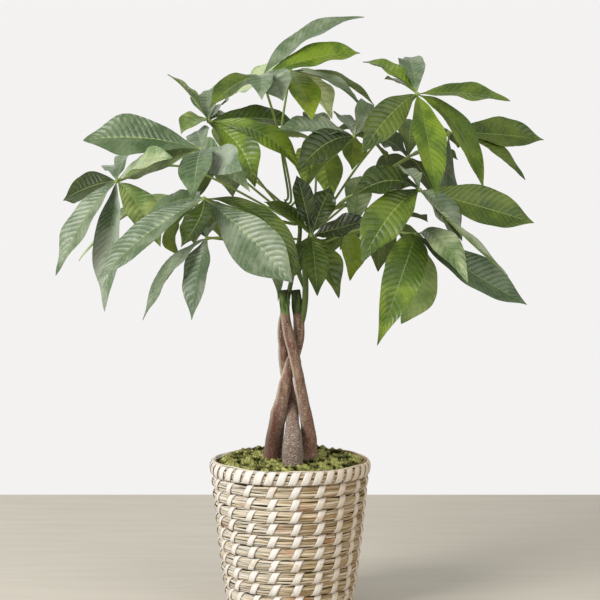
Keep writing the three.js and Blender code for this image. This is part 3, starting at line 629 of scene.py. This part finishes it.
# Each stem and shoot: where its middle shows in the photograph, its depth, and its radius in mm, foot first.
TRUNKS = {
    "trunk_1": [
        (271, 515, 12, 8), (272, 470, 12, 10.4), (273.7, 445, 8, 9.7), (278, 417, 0, 8.3),
        (282.5, 396, -3, 7.1), (287, 378, -1, 6.4), (290, 366, 2, 6), (293, 359, 4.5, 5.8),
        (297, 348, 4, 5.7), (299, 334, 2, 5.8), (298.7, 321, 1, 6), (297.5, 308, 0, 5.8),
        (295.5, 290, 0, 4.9),
    ],
    "trunk_2": [
        (310, 515, 12, 7), (309, 470, 12, 8.7), (309, 445, 8, 8.6), (306, 417, -4, 6.9),
        (301.5, 394, -9, 6.2), (298, 374, -11, 5.8), (295, 359, -11, 5.7), (291.5, 346, -10, 5.7),
        (287.5, 328, -8, 5.3), (285, 310, -7, 5), (283.3, 290, -6, 4.8),
    ],
    "trunk_3": [
        (292, 515, -18, 9), (292.5, 478, -20, 10.8), (292.7, 445, -17, 10.9), (292.6, 424, -4, 7.4),
        (291.5, 405, 7, 6.2), (288, 385, 12, 6), (284.5, 366, 13, 5.8), (283.5, 348, 9, 5.6),
        (282.5, 330, 6.5, 5.2), (284.5, 312, 7, 4.9), (286, 301, 8, 4.5),
    ],
}
SHOOTS = {
    "trunk_1": [
        (299, 330, 1, 3), (302.5, 318, -1, 3.4), (305, 302, -3, 3.3), (305.5, 284, -4, 3.2),
        (305, 262, -5, 3), (308, 245, -6, 2.8), (312, 230, -6, 2.6), (316, 214, -5, 2.3),
    ],
    "trunk_3": [
        (286, 308, 8, 2.6), (289, 292, 8.5, 2.5), (292, 277, 8, 2.4), (295, 258, 8, 2.4),
        (299.5, 238, 8, 2.3), (299, 222, 8, 2.2), (292, 211, 7, 2.2), (284, 202, 6, 2.2),
    ],
}
TRUNK_SIDES = 26
TRUNK_STEPS = 110
SHOOT_SIDES = 14
SHOOT_STEPS = 70
TUBE_SEAM = Vector((0.31, 0.95, 0.1))
# The bark's swellings and its finer roughness: how high each is, how many there are in a metre, and how much
# of the roughness has faded at the top.
SWELLING_HIGH, SWELLINGS = 0.9 * MM, 60
ROUGHNESS_HIGH, ROUGHNESSES = 0.35 * MM, 240
ROUGHNESS_FADE = 0.6
GREEN_SKIN = (0.3175, 0.3225)
MEALY_FOOT = 0.002
# A face belongs to the cut when it looks along the stem and lies within so many radii of the stem's end.
CUT_FACING = 0.9
CUT_REACH = 1.2


def at(u, v, depth):
    """The place that the photograph shows at pixel (u, v), `depth` mm behind the pot's middle plane."""
    right = (u - VIEW_PIXELS / 2) / VIEW_FOCAL
    up = (VIEW_PIXELS / 2 - v) / VIEW_FOCAL
    reach = (depth * MM - EYE.y) / (math.cos(VIEW_PITCH) + up * math.sin(VIEW_PITCH))
    rise = up * math.cos(VIEW_PITCH) - math.sin(VIEW_PITCH)
    return Vector((EYE.x + right * reach, depth * MM, EYE.z + rise * reach))


def curve_through(points):
    """A smooth curve through the points: its place at a share t of the way, counted in points."""
    knots = [2 * points[0] - points[1], *points, 2 * points[-1] - points[-2]]

    def place(t):
        along = min(max(t, 0), 1) * (len(points) - 1)
        knot = min(int(along), len(points) - 2)
        share = along - knot
        before, start, end, after = knots[knot:knot + 4]
        pairs = ((before, start), (start, end), (end, after))
        first, second, third = [max((b - a).length, 1e-6) ** 0.5 for a, b in pairs]
        leave = (start - before) / first - (end - before) / (first + second) + (end - start) / second
        arrive = (end - start) / second - (after - start) / (second + third) + (after - end) / third
        leave, arrive = leave * second, arrive * second
        bend = 3 * (end - start) - 2 * leave - arrive
        turn = 2 * (start - end) + leave + arrive
        return start + leave * share + bend * share ** 2 + turn * share ** 3

    return place


def heading(place, t):
    """The way that a curve runs at a share t of its length."""
    step = 1e-3
    return (place(min(t + step, 1)) - place(max(t - step, 0))).normalized()


def grown(knots):
    """The middle line of a stem through its knots, and the stem's radius at a share t of the way."""
    radii = [knot[3] * MM for knot in knots]

    def radius(t):
        along = t * (len(radii) - 1)
        knot = min(int(along), len(radii) - 2)
        return radii[knot] + (radii[knot + 1] - radii[knot]) * (along - knot)

    return curve_through([at(*knot[:3]) for knot in knots]), radius


def tube(sketch, place, radius, sides, steps, surface=None):
    """A round stem rolled up from a grid along a curve, closed at both ends. `surface` roughens it."""
    rolled = bmesh.ops.create_grid(sketch, x_segments=steps + 2, y_segments=sides, size=1)["verts"]
    rows = []
    normal = TUBE_SEAM
    for row in range(steps + 3):
        t = min(max((row - 1) / steps, 0), 1)
        ahead = heading(place, t)
        normal = (normal - ahead * normal.dot(ahead)).normalized()
        reach = 0 if row in (0, steps + 2) else radius(t)
        rows.append((place(t), normal.copy(), ahead.cross(normal), reach, t))
    for corner in rolled:
        middle, normal, across, reach, t = rows[round((corner.co.x + 1) / 2 * (steps + 2))]
        turn = -math.pi * corner.co.y
        way = normal * math.cos(turn) + across * math.sin(turn)
        corner.co = middle + way * reach
        if surface and reach:
            corner.co += way * surface(corner.co, t)
    bmesh.ops.remove_doubles(sketch, verts=rolled, dist=0.001 * MM)
    return {face for corner in rolled if corner.is_valid for face in corner.link_faces}


def bark_surface(spot, t):
    """Shallow swellings, and a finer roughness that fades towards the young top."""
    roughness = noise.noise(spot * ROUGHNESSES) * ROUGHNESS_HIGH * (1 - ROUGHNESS_FADE * t)
    return noise.noise(spot * SWELLINGS) * SWELLING_HIGH + roughness


def bark_finish():
    """Red-brown bark: streaks, pale specks and a mealy foot, green near the cuts; flanks facing the left
    light painted paler as painted sheen, and the right stem's foot painted lighter as painted light.
    """
    made, tree, shader = finish("young_bark", 0.8, specular=0.25)
    across, height = placing(tree)["X"], placing(tree)["Z"]
    lit_side_facing = axes(tree, put(tree, "NewGeometry").outputs["Normal"])["X"]
    streaks = speckle(tree, stretch(tree, (260, 260, 46)), 1, detail=6, roughness=0.65)
    mottle = speckle(tree, stretch(tree, (1, 1, 0.7)), 55, detail=4)
    specks = speckle(tree, stretch(tree, (1, 1, 1.6)), 560, roughness=0.75)
    low = step_up(tree, height, 0.235, 0.175)
    bark = blend(tree, step_up(tree, streaks, 0.3, 0.72), shade(90, 62, 48), shade(154, 126, 107))
    bark = tint(tree, bark, shade(98, 56, 42), step_up(tree, mottle, 0.48, 0.68), 0.7)
    # Painted sheen: flanks that face the left light are made paler.
    bark = tint(tree, bark, shade(206, 192, 176), step_up(tree, lit_side_facing, -0.45, -0.92), 0.6)
    bark = tint(tree, bark, shade(214, 202, 188), step_up(tree, specks, 0.57, 0.66), 0.8)
    bark = tint(tree, bark, shade(104, 64, 50), low, 0.45)
    # Painted light: the foot of the stem on the right, in shade, is lifted to a lighter ruddy brown.
    right = times(tree, step_up(tree, across, 0.01, 0.018), low)
    painted_light_ruddy = blend(tree, step_up(tree, specks, 0.45, 0.62), shade(126, 84, 66), shade(212, 180, 158))
    bark = tint(tree, bark, painted_light_ruddy, right, 0.45)
    left = times(tree, step_up(tree, across, -0.004, -0.014), low)
    bark = tint(tree, bark, shade(62, 38, 28), left, 0.5)
    middle = figure(tree, "ABSOLUTE", figure(tree, "SUBTRACT", across, MEALY_FOOT))
    mealy = times(tree, step_up(tree, middle, 0.017, 0.009), step_up(tree, height, 0.24, 0.18))
    meal = blend(tree, step_up(tree, specks, 0.4, 0.66), shade(96, 78, 66), shade(180, 170, 160))
    bark = tint(tree, bark, meal, mealy, 0.75)
    skin = blend(tree, step_up(tree, streaks, 0.38, 0.62), shade(40, 56, 24), shade(112, 136, 72))
    skin = tint(tree, skin, shade(44, 38, 22), step_up(tree, height, 0.33, 0.337), 0.8)
    skin = tint(tree, skin, shade(34, 38, 18), step_up(tree, across, -0.001, 0.002), 0.6)
    green = step_up(tree, figure(tree, "MULTIPLY_ADD", mottle, 0.012, height), *GREEN_SKIN)
    paint(tree, shader, blend(tree, green, bark, skin))
    relief(tree, shader, figure(tree, "MULTIPLY_ADD", specks, 0.7, streaks), 0.7, 1.2 * MM)
    return made


def shoot_finish():
    """Young green stem skin, paler where it is ribbed."""
    made, tree, shader = finish("green_shoot", 0.5, specular=0.35)
    ribs = speckle(tree, stretch(tree, (420, 420, 30)), 1, detail=4)
    mottle = speckle(tree, stretch(tree), 60)
    colour = blend(tree, ribs, shade(60, 80, 32), shade(106, 124, 64))
    paint(tree, shader, tint(tree, colour, shade(104, 96, 52), step_up(tree, mottle, 0.55, 0.75), 0.5))
    relief(tree, shader, ribs, 0.4, 0.4 * MM)
    return made


cut_finish, tree, shader = finish("dried_cut", 0.9, specular=0.2)
rings = speckle(tree, stretch(tree), 260, detail=4)
paint(tree, shader, blend(tree, rings, shade(34, 30, 22), shade(88, 78, 60)))
relief(tree, shader, rings, 0.5, 0.6 * MM)
stem_materials = [bark_finish(), cut_finish, shoot_finish()]
for node, knots in TRUNKS.items():
    sketch = bmesh.new()
    stem, radius = grown(knots)
    faces = tube(sketch, stem, radius, TRUNK_SIDES, TRUNK_STEPS, bark_surface)
    sketch.normal_update()
    for face in faces:
        away = (face.calc_center_median() - stem(1)).length
        if face.normal.dot(heading(stem, 1)) > CUT_FACING and away < radius(1) * CUT_REACH:
            face.material_index = 1
    if node in SHOOTS:
        for face in tube(sketch, *grown(SHOOTS[node]), SHOOT_SIDES, SHOOT_STEPS):
            face.material_index = 2
    piece(node.replace("trunk", "braided_stem"), sketch, stem_materials, node)

# LEAVES
# Each leaf is a long bare stalk that grows from a shoot, a small knuckle at its end, and five to eight thin
# leathery leaflets spread from the knuckle like fingers. A leaflet has a pale midrib, paired side veins that
# pleat the blade, waved edges and a paler underside.

# Each leaf: its knuckle in the photograph, the shoot that bears it and how far up, a point on its stalk if
# that bends, and its leaflets.
# Each leaflet: its tip, width in mm, lean in degrees, arch in mm (or a point on its rib) and tone, and where
# they aren't the plain ones, its taper and how lopsided it is.
LEAVES = {
    "a": ((116.6, 181, -5), "trunk_3", 0.78, (178, 166, 44), [
        ((63, 200.6, 45), 34, 50, 4, "deep"),
        ((55.7, 275.7, -30), 36, 35, 12, "bloom"),
        ((104.5, 311.6, -20), 36, 40, 10, "silver"),
        ((160.5, 247, -36), 36, 10, 8, "young"),
        ((113, 167, 66), 26, 0, 8, "silver"),
        ((130, 151, 60), 20, 0, 6, "bloom"),
        ((172.8, 158, -100), 26, 36, (144.4, 161.5, -72), "sage"),
    ]),
    "b": ((202.3, 150, -50), "trunk_3", 0.84, (238, 176, 14), [
        ((83, 140.5, -40), 46, 52, (143, 138, -45), "slate", 1.5),
        ((120.5, 180, -8), 34, 36, 4, "young"),
        ((193, 200, -125), 36, 0, 12, "slate"),
        ((242, 171, -118), 36, 34, 0, "silver"),
        ((250, 192, -84), 20, 20, 6, "pale"),
        ((197, 131, 10), 26, 10, 4, "bloom"),
    ]),
    "c": ((204, 198.7, -85), "trunk_3", 0.7, (246, 212, -40), [
        ((97, 280.5, -88), 34, 34, 8, "bloom"),
        ((148, 214, -30), 28, 22, 5, "slate"),
        ((181, 247, -128), 32, 5, (199, 220, -106), "deep"),
        ((292.5, 282.5, -128), 52, 42, 6, "bloom", 1.6, 0.14),
        ((303, 288.7, -100), 26, 10, (266, 221, -84), "green"),
    ]),
    "d": ((208.8, 121.2, 14), "trunk_3", 0.98, (245, 163, 0), [
        ((167.5, 74.5, 42), 26, -28, 6, "young"),
        ((206.5, 90.6, 62), 34, 0, 6, "bloom"),
        ((255, 187.3, -44), 36, 34, (240, 147, -18), "bright"),
        ((298.7, 169, -36), 32, 24, (263, 134.5, -24), "bright"),
        ((296, 125, 30), 36, 42, (257, 118.5, 24), "deep"),
        ((223, 104.4, 48), 32, 0, 4, "bloom"),
        ((181, 134, -14), 28, 35, 8, "young"),
        ((237.5, 122, 60), 24, 30, 8, "young"),
    ]),
    "e": ((290.3, 71.2, 6), "trunk_3", 1, (281, 140, 14), [
        ((235, 93.5, 56), 40, 60, (262.8, 79, 34), "sage"),
        ((312, 120, -52), 34, 15, 10, "gold", 1.6),
        ((332, 119, 42), 38, 10, 10, "sun"),
        ((362.5, 109, -8), 30, 32, (331, 82, 0), "pale"),
        ((374.5, 105.5, 54), 30, 20, 12, "sage"),
    ]),
    "f": ((262, 76.5, -38), "trunk_3", 0.95, (281, 142, -4), [
        ((209.2, 108.7, -74), 30, 18, (237, 84, -56), "green"),
        ((262, 100, -96), 24, 0, 9, "bloom"),
        ((283, 101, -74), 36, 16, 8, "bloom"),
        ((360.3, 53.2, -36), 40, 22, (313, 58.5, -42), "bright", 1.45),
        ((364.5, 17, -14), 30, 14, (310, 35, -22), "bloom", 0.95),
    ]),
    "g": ((416.9, 94, -28), "trunk_1", 0.97, (360, 163, 22), [
        ((407.4, 57.3, 30), 28, 20, 8, "bloom"),
        ((362.6, 62.2, 12), 28, 20, 8, "bright"),
        ((361.5, 154, -72), 34, 30, 8, "green"),
        ((436.6, 198.5, -96), 38, 10, 12, "bright"),
        ((510.4, 101.1, -36), 34, 28, 4, "green"),
        ((484, 193, -8), 36, 42, (458, 130, -22), "bright"),
        ((384.5, 79, 34), 22, 10, 4, "pale"),
    ]),
    "h": ((449, 133, 24), "trunk_1", 0.9, (388, 170, 36), [
        ((544, 140, 44), 42, 45, 2, "green"),
        ((525.3, 180, 0), 34, 22, 10, "green"),
        ((458, 148, 106), 30, 0, 6, "deep"),
        ((458, 241, 10), 36, 35, (447, 198, 12), "bloom"),
    ]),
    "i": ((419.6, 190, -62), "trunk_1", 0.88, (350, 196, -28), [
        ((361.4, 263.3, -108), 44, 12, 12, "green"),
        ((351.5, 197.5, -78), 36, 35, (388, 181, -72), "deep"),
        ((400, 171, 0), 24, 0, 8, "pale"),
        ((508, 276, -92), 32, -5, (462, 234, -84), "pale"),
        ((534.3, 223, -30), 44, 52, (478, 206, -44), "green"),
        ((462, 241, -76), 34, 26, 8, "bloom"),
    ]),
    "j": ((354.3, 136.8, -45), "trunk_3", 0.91, (318, 172, -14), [
        ((277.3, 130.3, -62), 32, 20, 6, "bloom"),
        ((297.7, 171.2, -88), 34, 28, 10, "deep"),
        ((337.4, 115.4, 14), 24, 0, 6, "silver"),
        ((374, 106, 18), 30, 30, 6, "pale"),
        ((352, 170, -4), 28, 0, 6, "gold"),
        ((388, 163, 0), 30, 20, 10, "green"),
        ((304, 188, -8), 30, 20, 4, "bright"),
    ]),
    "k": ((415.6, 234.5, -45), "trunk_1", 0.72, (364, 229, -24), [
        ((377, 346, -80), 42, 12, (400, 281, -74), "bright", 0.7),
        ((401, 324, -20), 46, 20, (417, 280, -26), "young"),
        ((527, 304.8, -50), 42, 44, (471, 272, -46), "slate"),
        ((468, 283, -96), 30, 38, (441, 241, -72), "sage"),
        ((388, 290, 0), 26, 10, 6, "pale"),
    ]),
    "l": ((311.2, 236, -42), "trunk_1", 0.64, None, [
        ((317.3, 296.4, -88), 28, 0, 8, "green"),
        ((339, 298.7, -60), 30, 10, 9, "green"),
        ((369, 220, -72), 32, 30, 0, "dark"),
        ((296.5, 175.5, -36), 24, 20, 4, "deep"),
        ((331, 188, -24), 26, 20, 4, "deep"),
        ((264, 202, -26), 20, 20, 6, "green"),
        ((290, 281, -44), 24, 10, 4, "green"),
    ]),
    "m": ((207, 238.3, 0), "trunk_3", 0.56, (250, 236, 4), [
        ((142.6, 320.2, -14), 32, 22, 14, "bloom"),
        ((191.6, 320.2, -26), 34, 25, 12, "silver"),
        ((213, 226, 44), 24, 0, 6, "bloom"),
        ((194, 244, 76), 28, 0, 10, "bloom"),
        ((278, 301, 40), 26, 0, (262, 256, 26), "silver"),
    ]),
    "n": ((353, 231, 12), "trunk_1", 0.8, (332, 224, 6), [
        ((350, 281, -30), 30, 10, 8, "gold"),
        ((384, 262, 40), 32, 10, 10, "green"),
        ((361, 176, -4), 30, 20, 8, "pale"),
        ((326, 262, 24), 28, 0, 8, "green"),
    ]),
    "p": ((226, 158, 122), "trunk_3", 0.88, (262, 186, 56), [
        ((174, 150, 146), 34, 30, 10, "pale"),
        ((190, 206, 168), 38, 0, 12, "green"),
        ((233, 197, 204), 38, 0, 10, "bloom"),
        ((228, 124, 190), 34, 0, 8, "green"),
    ]),
    "q": ((318, 144, 128), "trunk_1", 1, (316, 180, 56), [
        ((272, 142, 164), 34, 0, 8, "young"),
        ((305, 190, 204), 36, 0, 12, "gold"),
        ((331, 203, 194), 38, 0, 12, "gold"),
        ((364, 130, 168), 34, 0, 8, "green"),
        ((314, 114, 190), 32, 0, 8, "deep"),
    ]),
    "r": ((408, 158, 112), "trunk_1", 0.94, (358, 191, 54), [
        ((371, 141, 108), 44, 46, 8, "deep"),
        ((385, 197, 160), 42, 0, 12, "dark"),
        ((438, 206, 160), 38, 0, 12, "dark"),
        ((458, 160, 150), 34, 0, 8, "green"),
        ((412, 120, 176), 32, 0, 8, "green"),
    ]),
    "s": ((382, 224, 96), "trunk_1", 0.76, (338, 238, 48), [
        ((340, 250, 140), 34, 0, 10, "deep"),
        ((378, 272, 164), 38, 0, 12, "deep"),
        ((424, 262, 142), 36, 0, 12, "green"),
        ((428, 222, 150), 34, 0, 8, "deep"),
        ((334, 210.5, 104), 26, 20, (357, 208, 100), "bright"),
    ]),
    "t": ((196, 205, 26), "trunk_3", 0.72, (250, 214, 26), [
        ((78.7, 261, 30), 36, 20, (138, 209, 24), "sun"),
        ((178.5, 254, 66), 34, 24, (175, 229, 46), "gold"),
        ((178, 212, 122), 36, 0, 10, "bloom"),
        ((224, 240, 116), 36, 0, 10, "green"),
    ]),
}
# Each tone's green: partly the leaflets' own colour, old ones dark and young ones yellow, and partly painted
# light and shade picked for how each leaflet was lit.
# 'sun', and in part 'gold', are painted glow of leaflets lit through from behind; 'bloom' and 'silver' are
# painted sheen; 'dark' is painted shade deep in the crown.
LEAF_TONES = {
    # Painted shade: leaflets deep inside the crown.
    "dark": shade(28, 38, 7),
    "deep": shade(50, 67, 10),
    "green": shade(86, 105, 32),
    "bright": shade(110, 134, 34),
    "gold": shade(138, 160, 44),
    "young": shade(140, 156, 98),
    # Painted glow: a leaflet lit through from behind.
    "sun": shade(236, 244, 196),
    "pale": shade(172, 185, 158),
    "sage": shade(164, 178, 144),
    "slate": shade(92, 112, 84),
    # Painted sheen on glossy leaflets, in this tone and the next.
    "bloom": shade(121, 134, 117),
    "silver": shade(146, 158, 149),
}
TONE_VARY = (0.88, 1.14)
PLAIN_LEAFLET = (1.25, 0)
WIDE_LEAFLET = 35
OUTWARD_TILT = 0.35
ROOT_REACH = 1.02 * MM
BLADE_COLUMNS = 10
BLADE_CROWDING = 1.25
BLADE_HALF_THICK = 0.36 * MM
BLADE_FULLNESS = 0.85
BLADE_FOLD = 0.26
BLADE_LOPSIDED = 0.08
TAIL_FROM = 0.7
TAIL_NARROWING = 0.38
VEIN_SPACING = 6.4 * MM
VEIN_ROWS = 5
FEWEST_VEINS = 5
MOST_VEINS = 26
# The pleats between side veins: their height and how it varies, and how the veins run back and bend.
PLEAT = 1.25 * MM
PLEAT_DEPTH = 0.55
PLEAT_VARY = 0.9
PLEAT_MIDDLE = 0.6
PLEAT_EDGE = 0.92
PLEAT_SLOPE = 0.08
PLEAT_CURVE = 0.05
# The margin: even waves, a free wander, and the half widths under which each of them dies away.
EDGE_WAVE = 1.1 * MM
EDGE_WAVE_FULL = 4 * MM
EDGE_WANDER = 2.4 * MM
EDGE_WANDER_FULL = 9 * MM
STALK_RADIUS = 1.25 * MM
STALK_SIDES = 10
STALK_STEPS = 44
STALK_ROOT = 0.4 * MM
STALK_SQUARE = 3.4 * MM
# How much thicker the stalk gets at its foot and at its knuckle, and over what share of its length.
FOOT_SWELL = (0.9, 0.035)
KNUCKLE_SWELL = (0.45, 0.04)
KNUCKLE_RADIUS = 2.5 * MM
MIDRIB_START = 0.4
MIDRIB_KNOTS = (0.02, 0.2, 0.4, 0.6, 0.8, 0.97)
MIDRIB_ROOT = 0.95 * MM
MIDRIB_TIP = 0.24 * MM
MIDRIB_TAPER = 0.6
MIDRIB_SINK = 0.5 * MM
MIDRIB_SIDES = 6
MIDRIB_STEPS = 26


def vein_pattern():
    """The blade's veins, from how far along and across it a point lies: masks, and a height for both."""
    made = bpy.data.node_groups.new("leaf_veins", "ShaderNodeTree")
    for name in ("Along", "Across", "Pairs"):
        made.interface.new_socket(name, in_out="INPUT", socket_type="NodeSocketFloat")
    for name in ("Midrib", "Side Veins", "Net", "Height"):
        made.interface.new_socket(name, in_out="OUTPUT", socket_type="NodeSocketFloat")
    given = made.nodes.new("NodeGroupInput").outputs
    result = made.nodes.new("NodeGroupOutput").inputs
    across = figure(made, "ABSOLUTE", given["Across"])
    lag = times(made, across, PLEAT_SLOPE)
    bend = times(made, figure(made, "POWER", across, 3), PLEAT_CURVE)
    back = figure(made, "SUBTRACT", figure(made, "SUBTRACT", given["Along"], lag), bend)
    phase = figure(made, "FRACT", times(made, back, given["Pairs"]))
    away = figure(made, "SUBTRACT", 0.5, figure(made, "ABSOLUTE", figure(made, "SUBTRACT", phase, 0.5)))
    side = times(made, step_up(made, away, 0.07, 0.015), step_up(made, across, 1, 0.8))
    width = figure(made, "MULTIPLY_ADD", given["Along"], -0.02, 0.042)
    midrib = step_up(made, figure(made, "DIVIDE", across, width), 1.25, 0.75)
    net = step_up(made, speckle(made, stretch(made), 520, detail=2, roughness=0.6), 0.52, 0.62)
    swell = figure(made, "SINE", times(made, phase, math.pi))
    height = figure(made, "MULTIPLY_ADD", net, -0.15, swell)
    for name, value in (("Midrib", midrib), ("Side Veins", side), ("Net", net), ("Height", height)):
        made.links.new(value, result[name])
    return made


def blade_finish(name, veins, upper):
    """One face of a leaflet: its own green, lighter and darker in patches that are partly mottling and partly
    painted sheen and shade, a little darker in the pleats' hollows as painted shade, with finer and lighter
    veins, paler underneath.
    """
    made, tree, shader = finish(name, 0.4, specular=0.42 if upper else 0.2)
    lay = axes(tree, put(tree, "UVMap", uv_map="blade").outputs["UV"])
    tone = put(tree, "Attribute", attribute_name="tone").outputs
    own = tone["Color"]
    across = figure(tree, "MULTIPLY_ADD", lay["Y"], 2, -1)
    pairs = times(tree, tone["Alpha"], MOST_VEINS)
    given = {"Along": lay["X"], "Across": across, "Pairs": pairs}
    pattern = put(tree, "Group", given, node_tree=veins).outputs
    patches = speckle(tree, stretch(tree), 34, detail=4)
    # The light and dark patches are partly the leaflet's own mottling and partly painted sheen and painted
    # shade; the pleat height darkens the hollows between the side veins as painted shade.
    light = blend(tree, 1, own, shade(255, 253, 236), mode="MULTIPLY")
    dark = blend(tree, 1, own, shade(168, 188, 150), mode="MULTIPLY")
    hollow = figure(tree, "MULTIPLY_ADD", pattern["Height"], -0.05, patches)
    green = blend(tree, step_up(tree, hollow, 0.36, 0.58), light, dark)
    if not upper:
        green = blend(tree, 0.4, green, shade(112, 132, 78))
    vein_light = blend(tree, 0.32, own, shade(196, 208, 140))
    colour = tint(tree, green, vein_light, pattern["Net"], 0.12)
    colour = tint(tree, colour, vein_light, pattern["Side Veins"], 0.25)
    paint(tree, shader, tint(tree, colour, shade(142, 162, 92), pattern["Midrib"], 0.7))
    fine = speckle(tree, stretch(tree), 180)
    gloss = figure(tree, "MULTIPLY_ADD", fine, 0.16, 0.27 if upper else 0.55)
    tree.links.new(gloss, shader.inputs["Roughness"])
    relief(tree, shader, pattern["Height"], 0.5 if upper else 0.8, 1 * MM)
    return made


def stalk_finish():
    """Leaf stalks, knuckles and midribs: pale green, a little brown and rough in places."""
    made, tree, shader = finish("leaf_stalk", 0.5, specular=0.4)
    mottle = speckle(tree, stretch(tree), 44, detail=4)
    paint(tree, shader, blend(tree, mottle, shade(98, 122, 48), shade(150, 168, 92)))
    relief(tree, shader, mottle, 0.2, 0.3 * MM)
    return made


def blade_half(t, taper):
    """How wide a leaflet is at a share t of its length, next to its half width: its tip is drawn out."""
    tail = min(max((t - TAIL_FROM) / (1 - TAIL_FROM), 0), 1)
    narrowing = 1 - TAIL_NARROWING * tail * tail * (3 - 2 * tail)
    return max(math.sin(math.pi * t ** taper), 0) ** BLADE_FULLNESS * narrowing


def leaflet(sketch, layer, hub, part, chance):
    """One leaflet: an upper and a lower sheet joined at the edges, over a midrib that tapers to the tip."""
    tip, width, lean, arch, tone, taper, skew = (*part, *PLAIN_LEAFLET[len(part) - 5:])
    end = at(*tip)
    middle = at(*arch) if isinstance(arch, tuple) else hub.lerp(end, 0.5) + Vector((0, 0, arch * MM))
    bend = 2 * middle - hub / 2 - end / 2
    start = hub + (bend - hub).normalized() * ROOT_REACH
    chord = (end - hub).normalized()
    upward = Vector((0, 0, 1)) + Vector((hub.x, hub.y, 0)).normalized() * OUTWARD_TILT
    across = chord.cross(upward).normalized()
    across.rotate(Matrix.Rotation(math.radians(lean) * (1 if chord.x >= 0 else -1), 3, chord))

    def rib(t):
        return start * (1 - t) ** 2 + bend * 2 * t * (1 - t) + end * t ** 2

    pairs = min(max(round((end - hub).length / VEIN_SPACING), FEWEST_VEINS), MOST_VEINS)
    waves = 6 if width >= WIDE_LEAFLET else 5
    rows = pairs * VEIN_ROWS
    ripple = chance.uniform(0, 50)
    levels = []
    for row in range(rows + 1):
        t = row / rows
        ahead = ((bend - start) * (1 - t) + (end - bend) * t).normalized()
        face = across.cross(ahead).normalized()
        levels.append((rib(t), face, ahead.cross(face), width * MM / 2 * blade_half(t, taper)))
    vary = chance.uniform(*TONE_VARY)
    own = (*[part_colour * vary for part_colour in LEAF_TONES[tone][:3]], pairs / MOST_VEINS)
    joined = []
    for material, up in ((0, 1), (1, -1)):
        sheet = bmesh.ops.create_grid(sketch, x_segments=rows, y_segments=BLADE_COLUMNS, size=1,
                                      calc_uvs=True)["verts"]
        for corner in sheet:
            row = round((corner.co.x + 1) / 2 * rows)
            t = row / rows
            place, face, side, half = levels[row]
            out = -up * math.copysign(abs(corner.co.y) ** BLADE_CROWDING, corner.co.y)
            size = abs(out)
            phase = pairs * (t - PLEAT_SLOPE * size - PLEAT_CURVE * size ** 3)
            depth = PLEAT_DEPTH + PLEAT_VARY * noise.noise(Vector((t * 5, out * 2, ripple + 9)))
            pleat = PLEAT * depth * (abs(math.sin(math.pi * phase)) - PLEAT_MIDDLE)
            pleat *= math.sin(math.pi * min(size, PLEAT_EDGE)) * blade_half(t, taper)
            wave = EDGE_WAVE * out * size * math.cos(math.pi * t * waves) * min(1, half / EDGE_WAVE_FULL)
            wander = EDGE_WANDER * size * min(1, half / EDGE_WANDER_FULL)
            wave += noise.noise(Vector((t * 5, out * 1.5, ripple))) * wander
            half *= 1 + BLADE_LOPSIDED * noise.noise(Vector((t * 4, math.copysign(3, out), ripple + 20)))
            half *= 1 + skew * math.copysign(1, out)
            thick = BLADE_HALF_THICK * (1 - size ** 4) * up
            lift = size * half * BLADE_FOLD + wave + pleat + thick
            corner.co = place + side * out * half + face * lift
        for face in {face for corner in sheet for face in corner.link_faces}:
            face.material_index = material
            for loop in face.loops:
                loop[layer] = own
        joined += sheet
    bmesh.ops.remove_doubles(sketch, verts=joined, dist=0.004 * MM)
    sink = levels[rows // 2][1] * MIDRIB_SINK
    line = [hub + (start - hub) * MIDRIB_START]
    line += [rib(t) - sink * math.sin(math.pi * t) for t in MIDRIB_KNOTS]

    def thickness(t):
        return MIDRIB_ROOT + (MIDRIB_TIP - MIDRIB_ROOT) * t ** MIDRIB_TAPER

    for face in tube(sketch, curve_through(line), thickness, MIDRIB_SIDES, MIDRIB_STEPS):
        face.material_index = 2


def leaf_stalk(sketch, bearer, height, bend, hub):
    """The stalk leaves the shoot's side square on, thick at its foot, and swells again at the knuckle."""
    shoot, shoot_radius = grown(SHOOTS[bearer])
    foot = shoot(height)
    ahead = heading(shoot, height)
    onward = [at(*bend), hub] if bend else [hub]
    towards = onward[0] - foot
    outward = (towards - ahead * towards.dot(ahead)).normalized()
    reach = shoot_radius(height)
    root = [foot + outward * (reach - STALK_ROOT), foot + outward * (reach + STALK_SQUARE)]

    def thickness(t):
        swell = math.exp(-(t / FOOT_SWELL[1]) ** 2) * FOOT_SWELL[0]
        swell += math.exp(-((1 - t) / KNUCKLE_SWELL[1]) ** 2) * KNUCKLE_SWELL[0]
        return STALK_RADIUS * (1 + swell)

    faces = tube(sketch, curve_through(root + onward), thickness, STALK_SIDES, STALK_STEPS)
    place = Matrix.Translation(hub)
    knuckle = bmesh.ops.create_icosphere(sketch, subdivisions=2, radius=KNUCKLE_RADIUS, matrix=place)["verts"]
    for face in faces | {face for corner in knuckle for face in corner.link_faces}:
        face.material_index = 2


veins = vein_pattern()
leaf_materials = [blade_finish("leaflet_upper", veins, True), blade_finish("leaflet_under", veins, False)]
leaf_materials.append(stalk_finish())
for order, (name, (knuckle, bearer, height, bend, leaflets)) in enumerate(LEAVES.items()):
    chance = random.Random(100 + order)
    sketch = bmesh.new()
    sketch.loops.layers.uv.new("blade")
    tone_layer = sketch.loops.layers.float_color.new("tone")
    hub = at(*knuckle)
    leaf_stalk(sketch, bearer, height, bend, hub)
    for part in leaflets:
        leaflet(sketch, tone_layer, hub, part, chance)
    for edge in sketch.edges:
        edge.smooth = {face.material_index for face in edge.link_faces} != {0, 1}
    piece("compound_leaf_" + name, sketch, leaf_materials, "leaf_" + name)
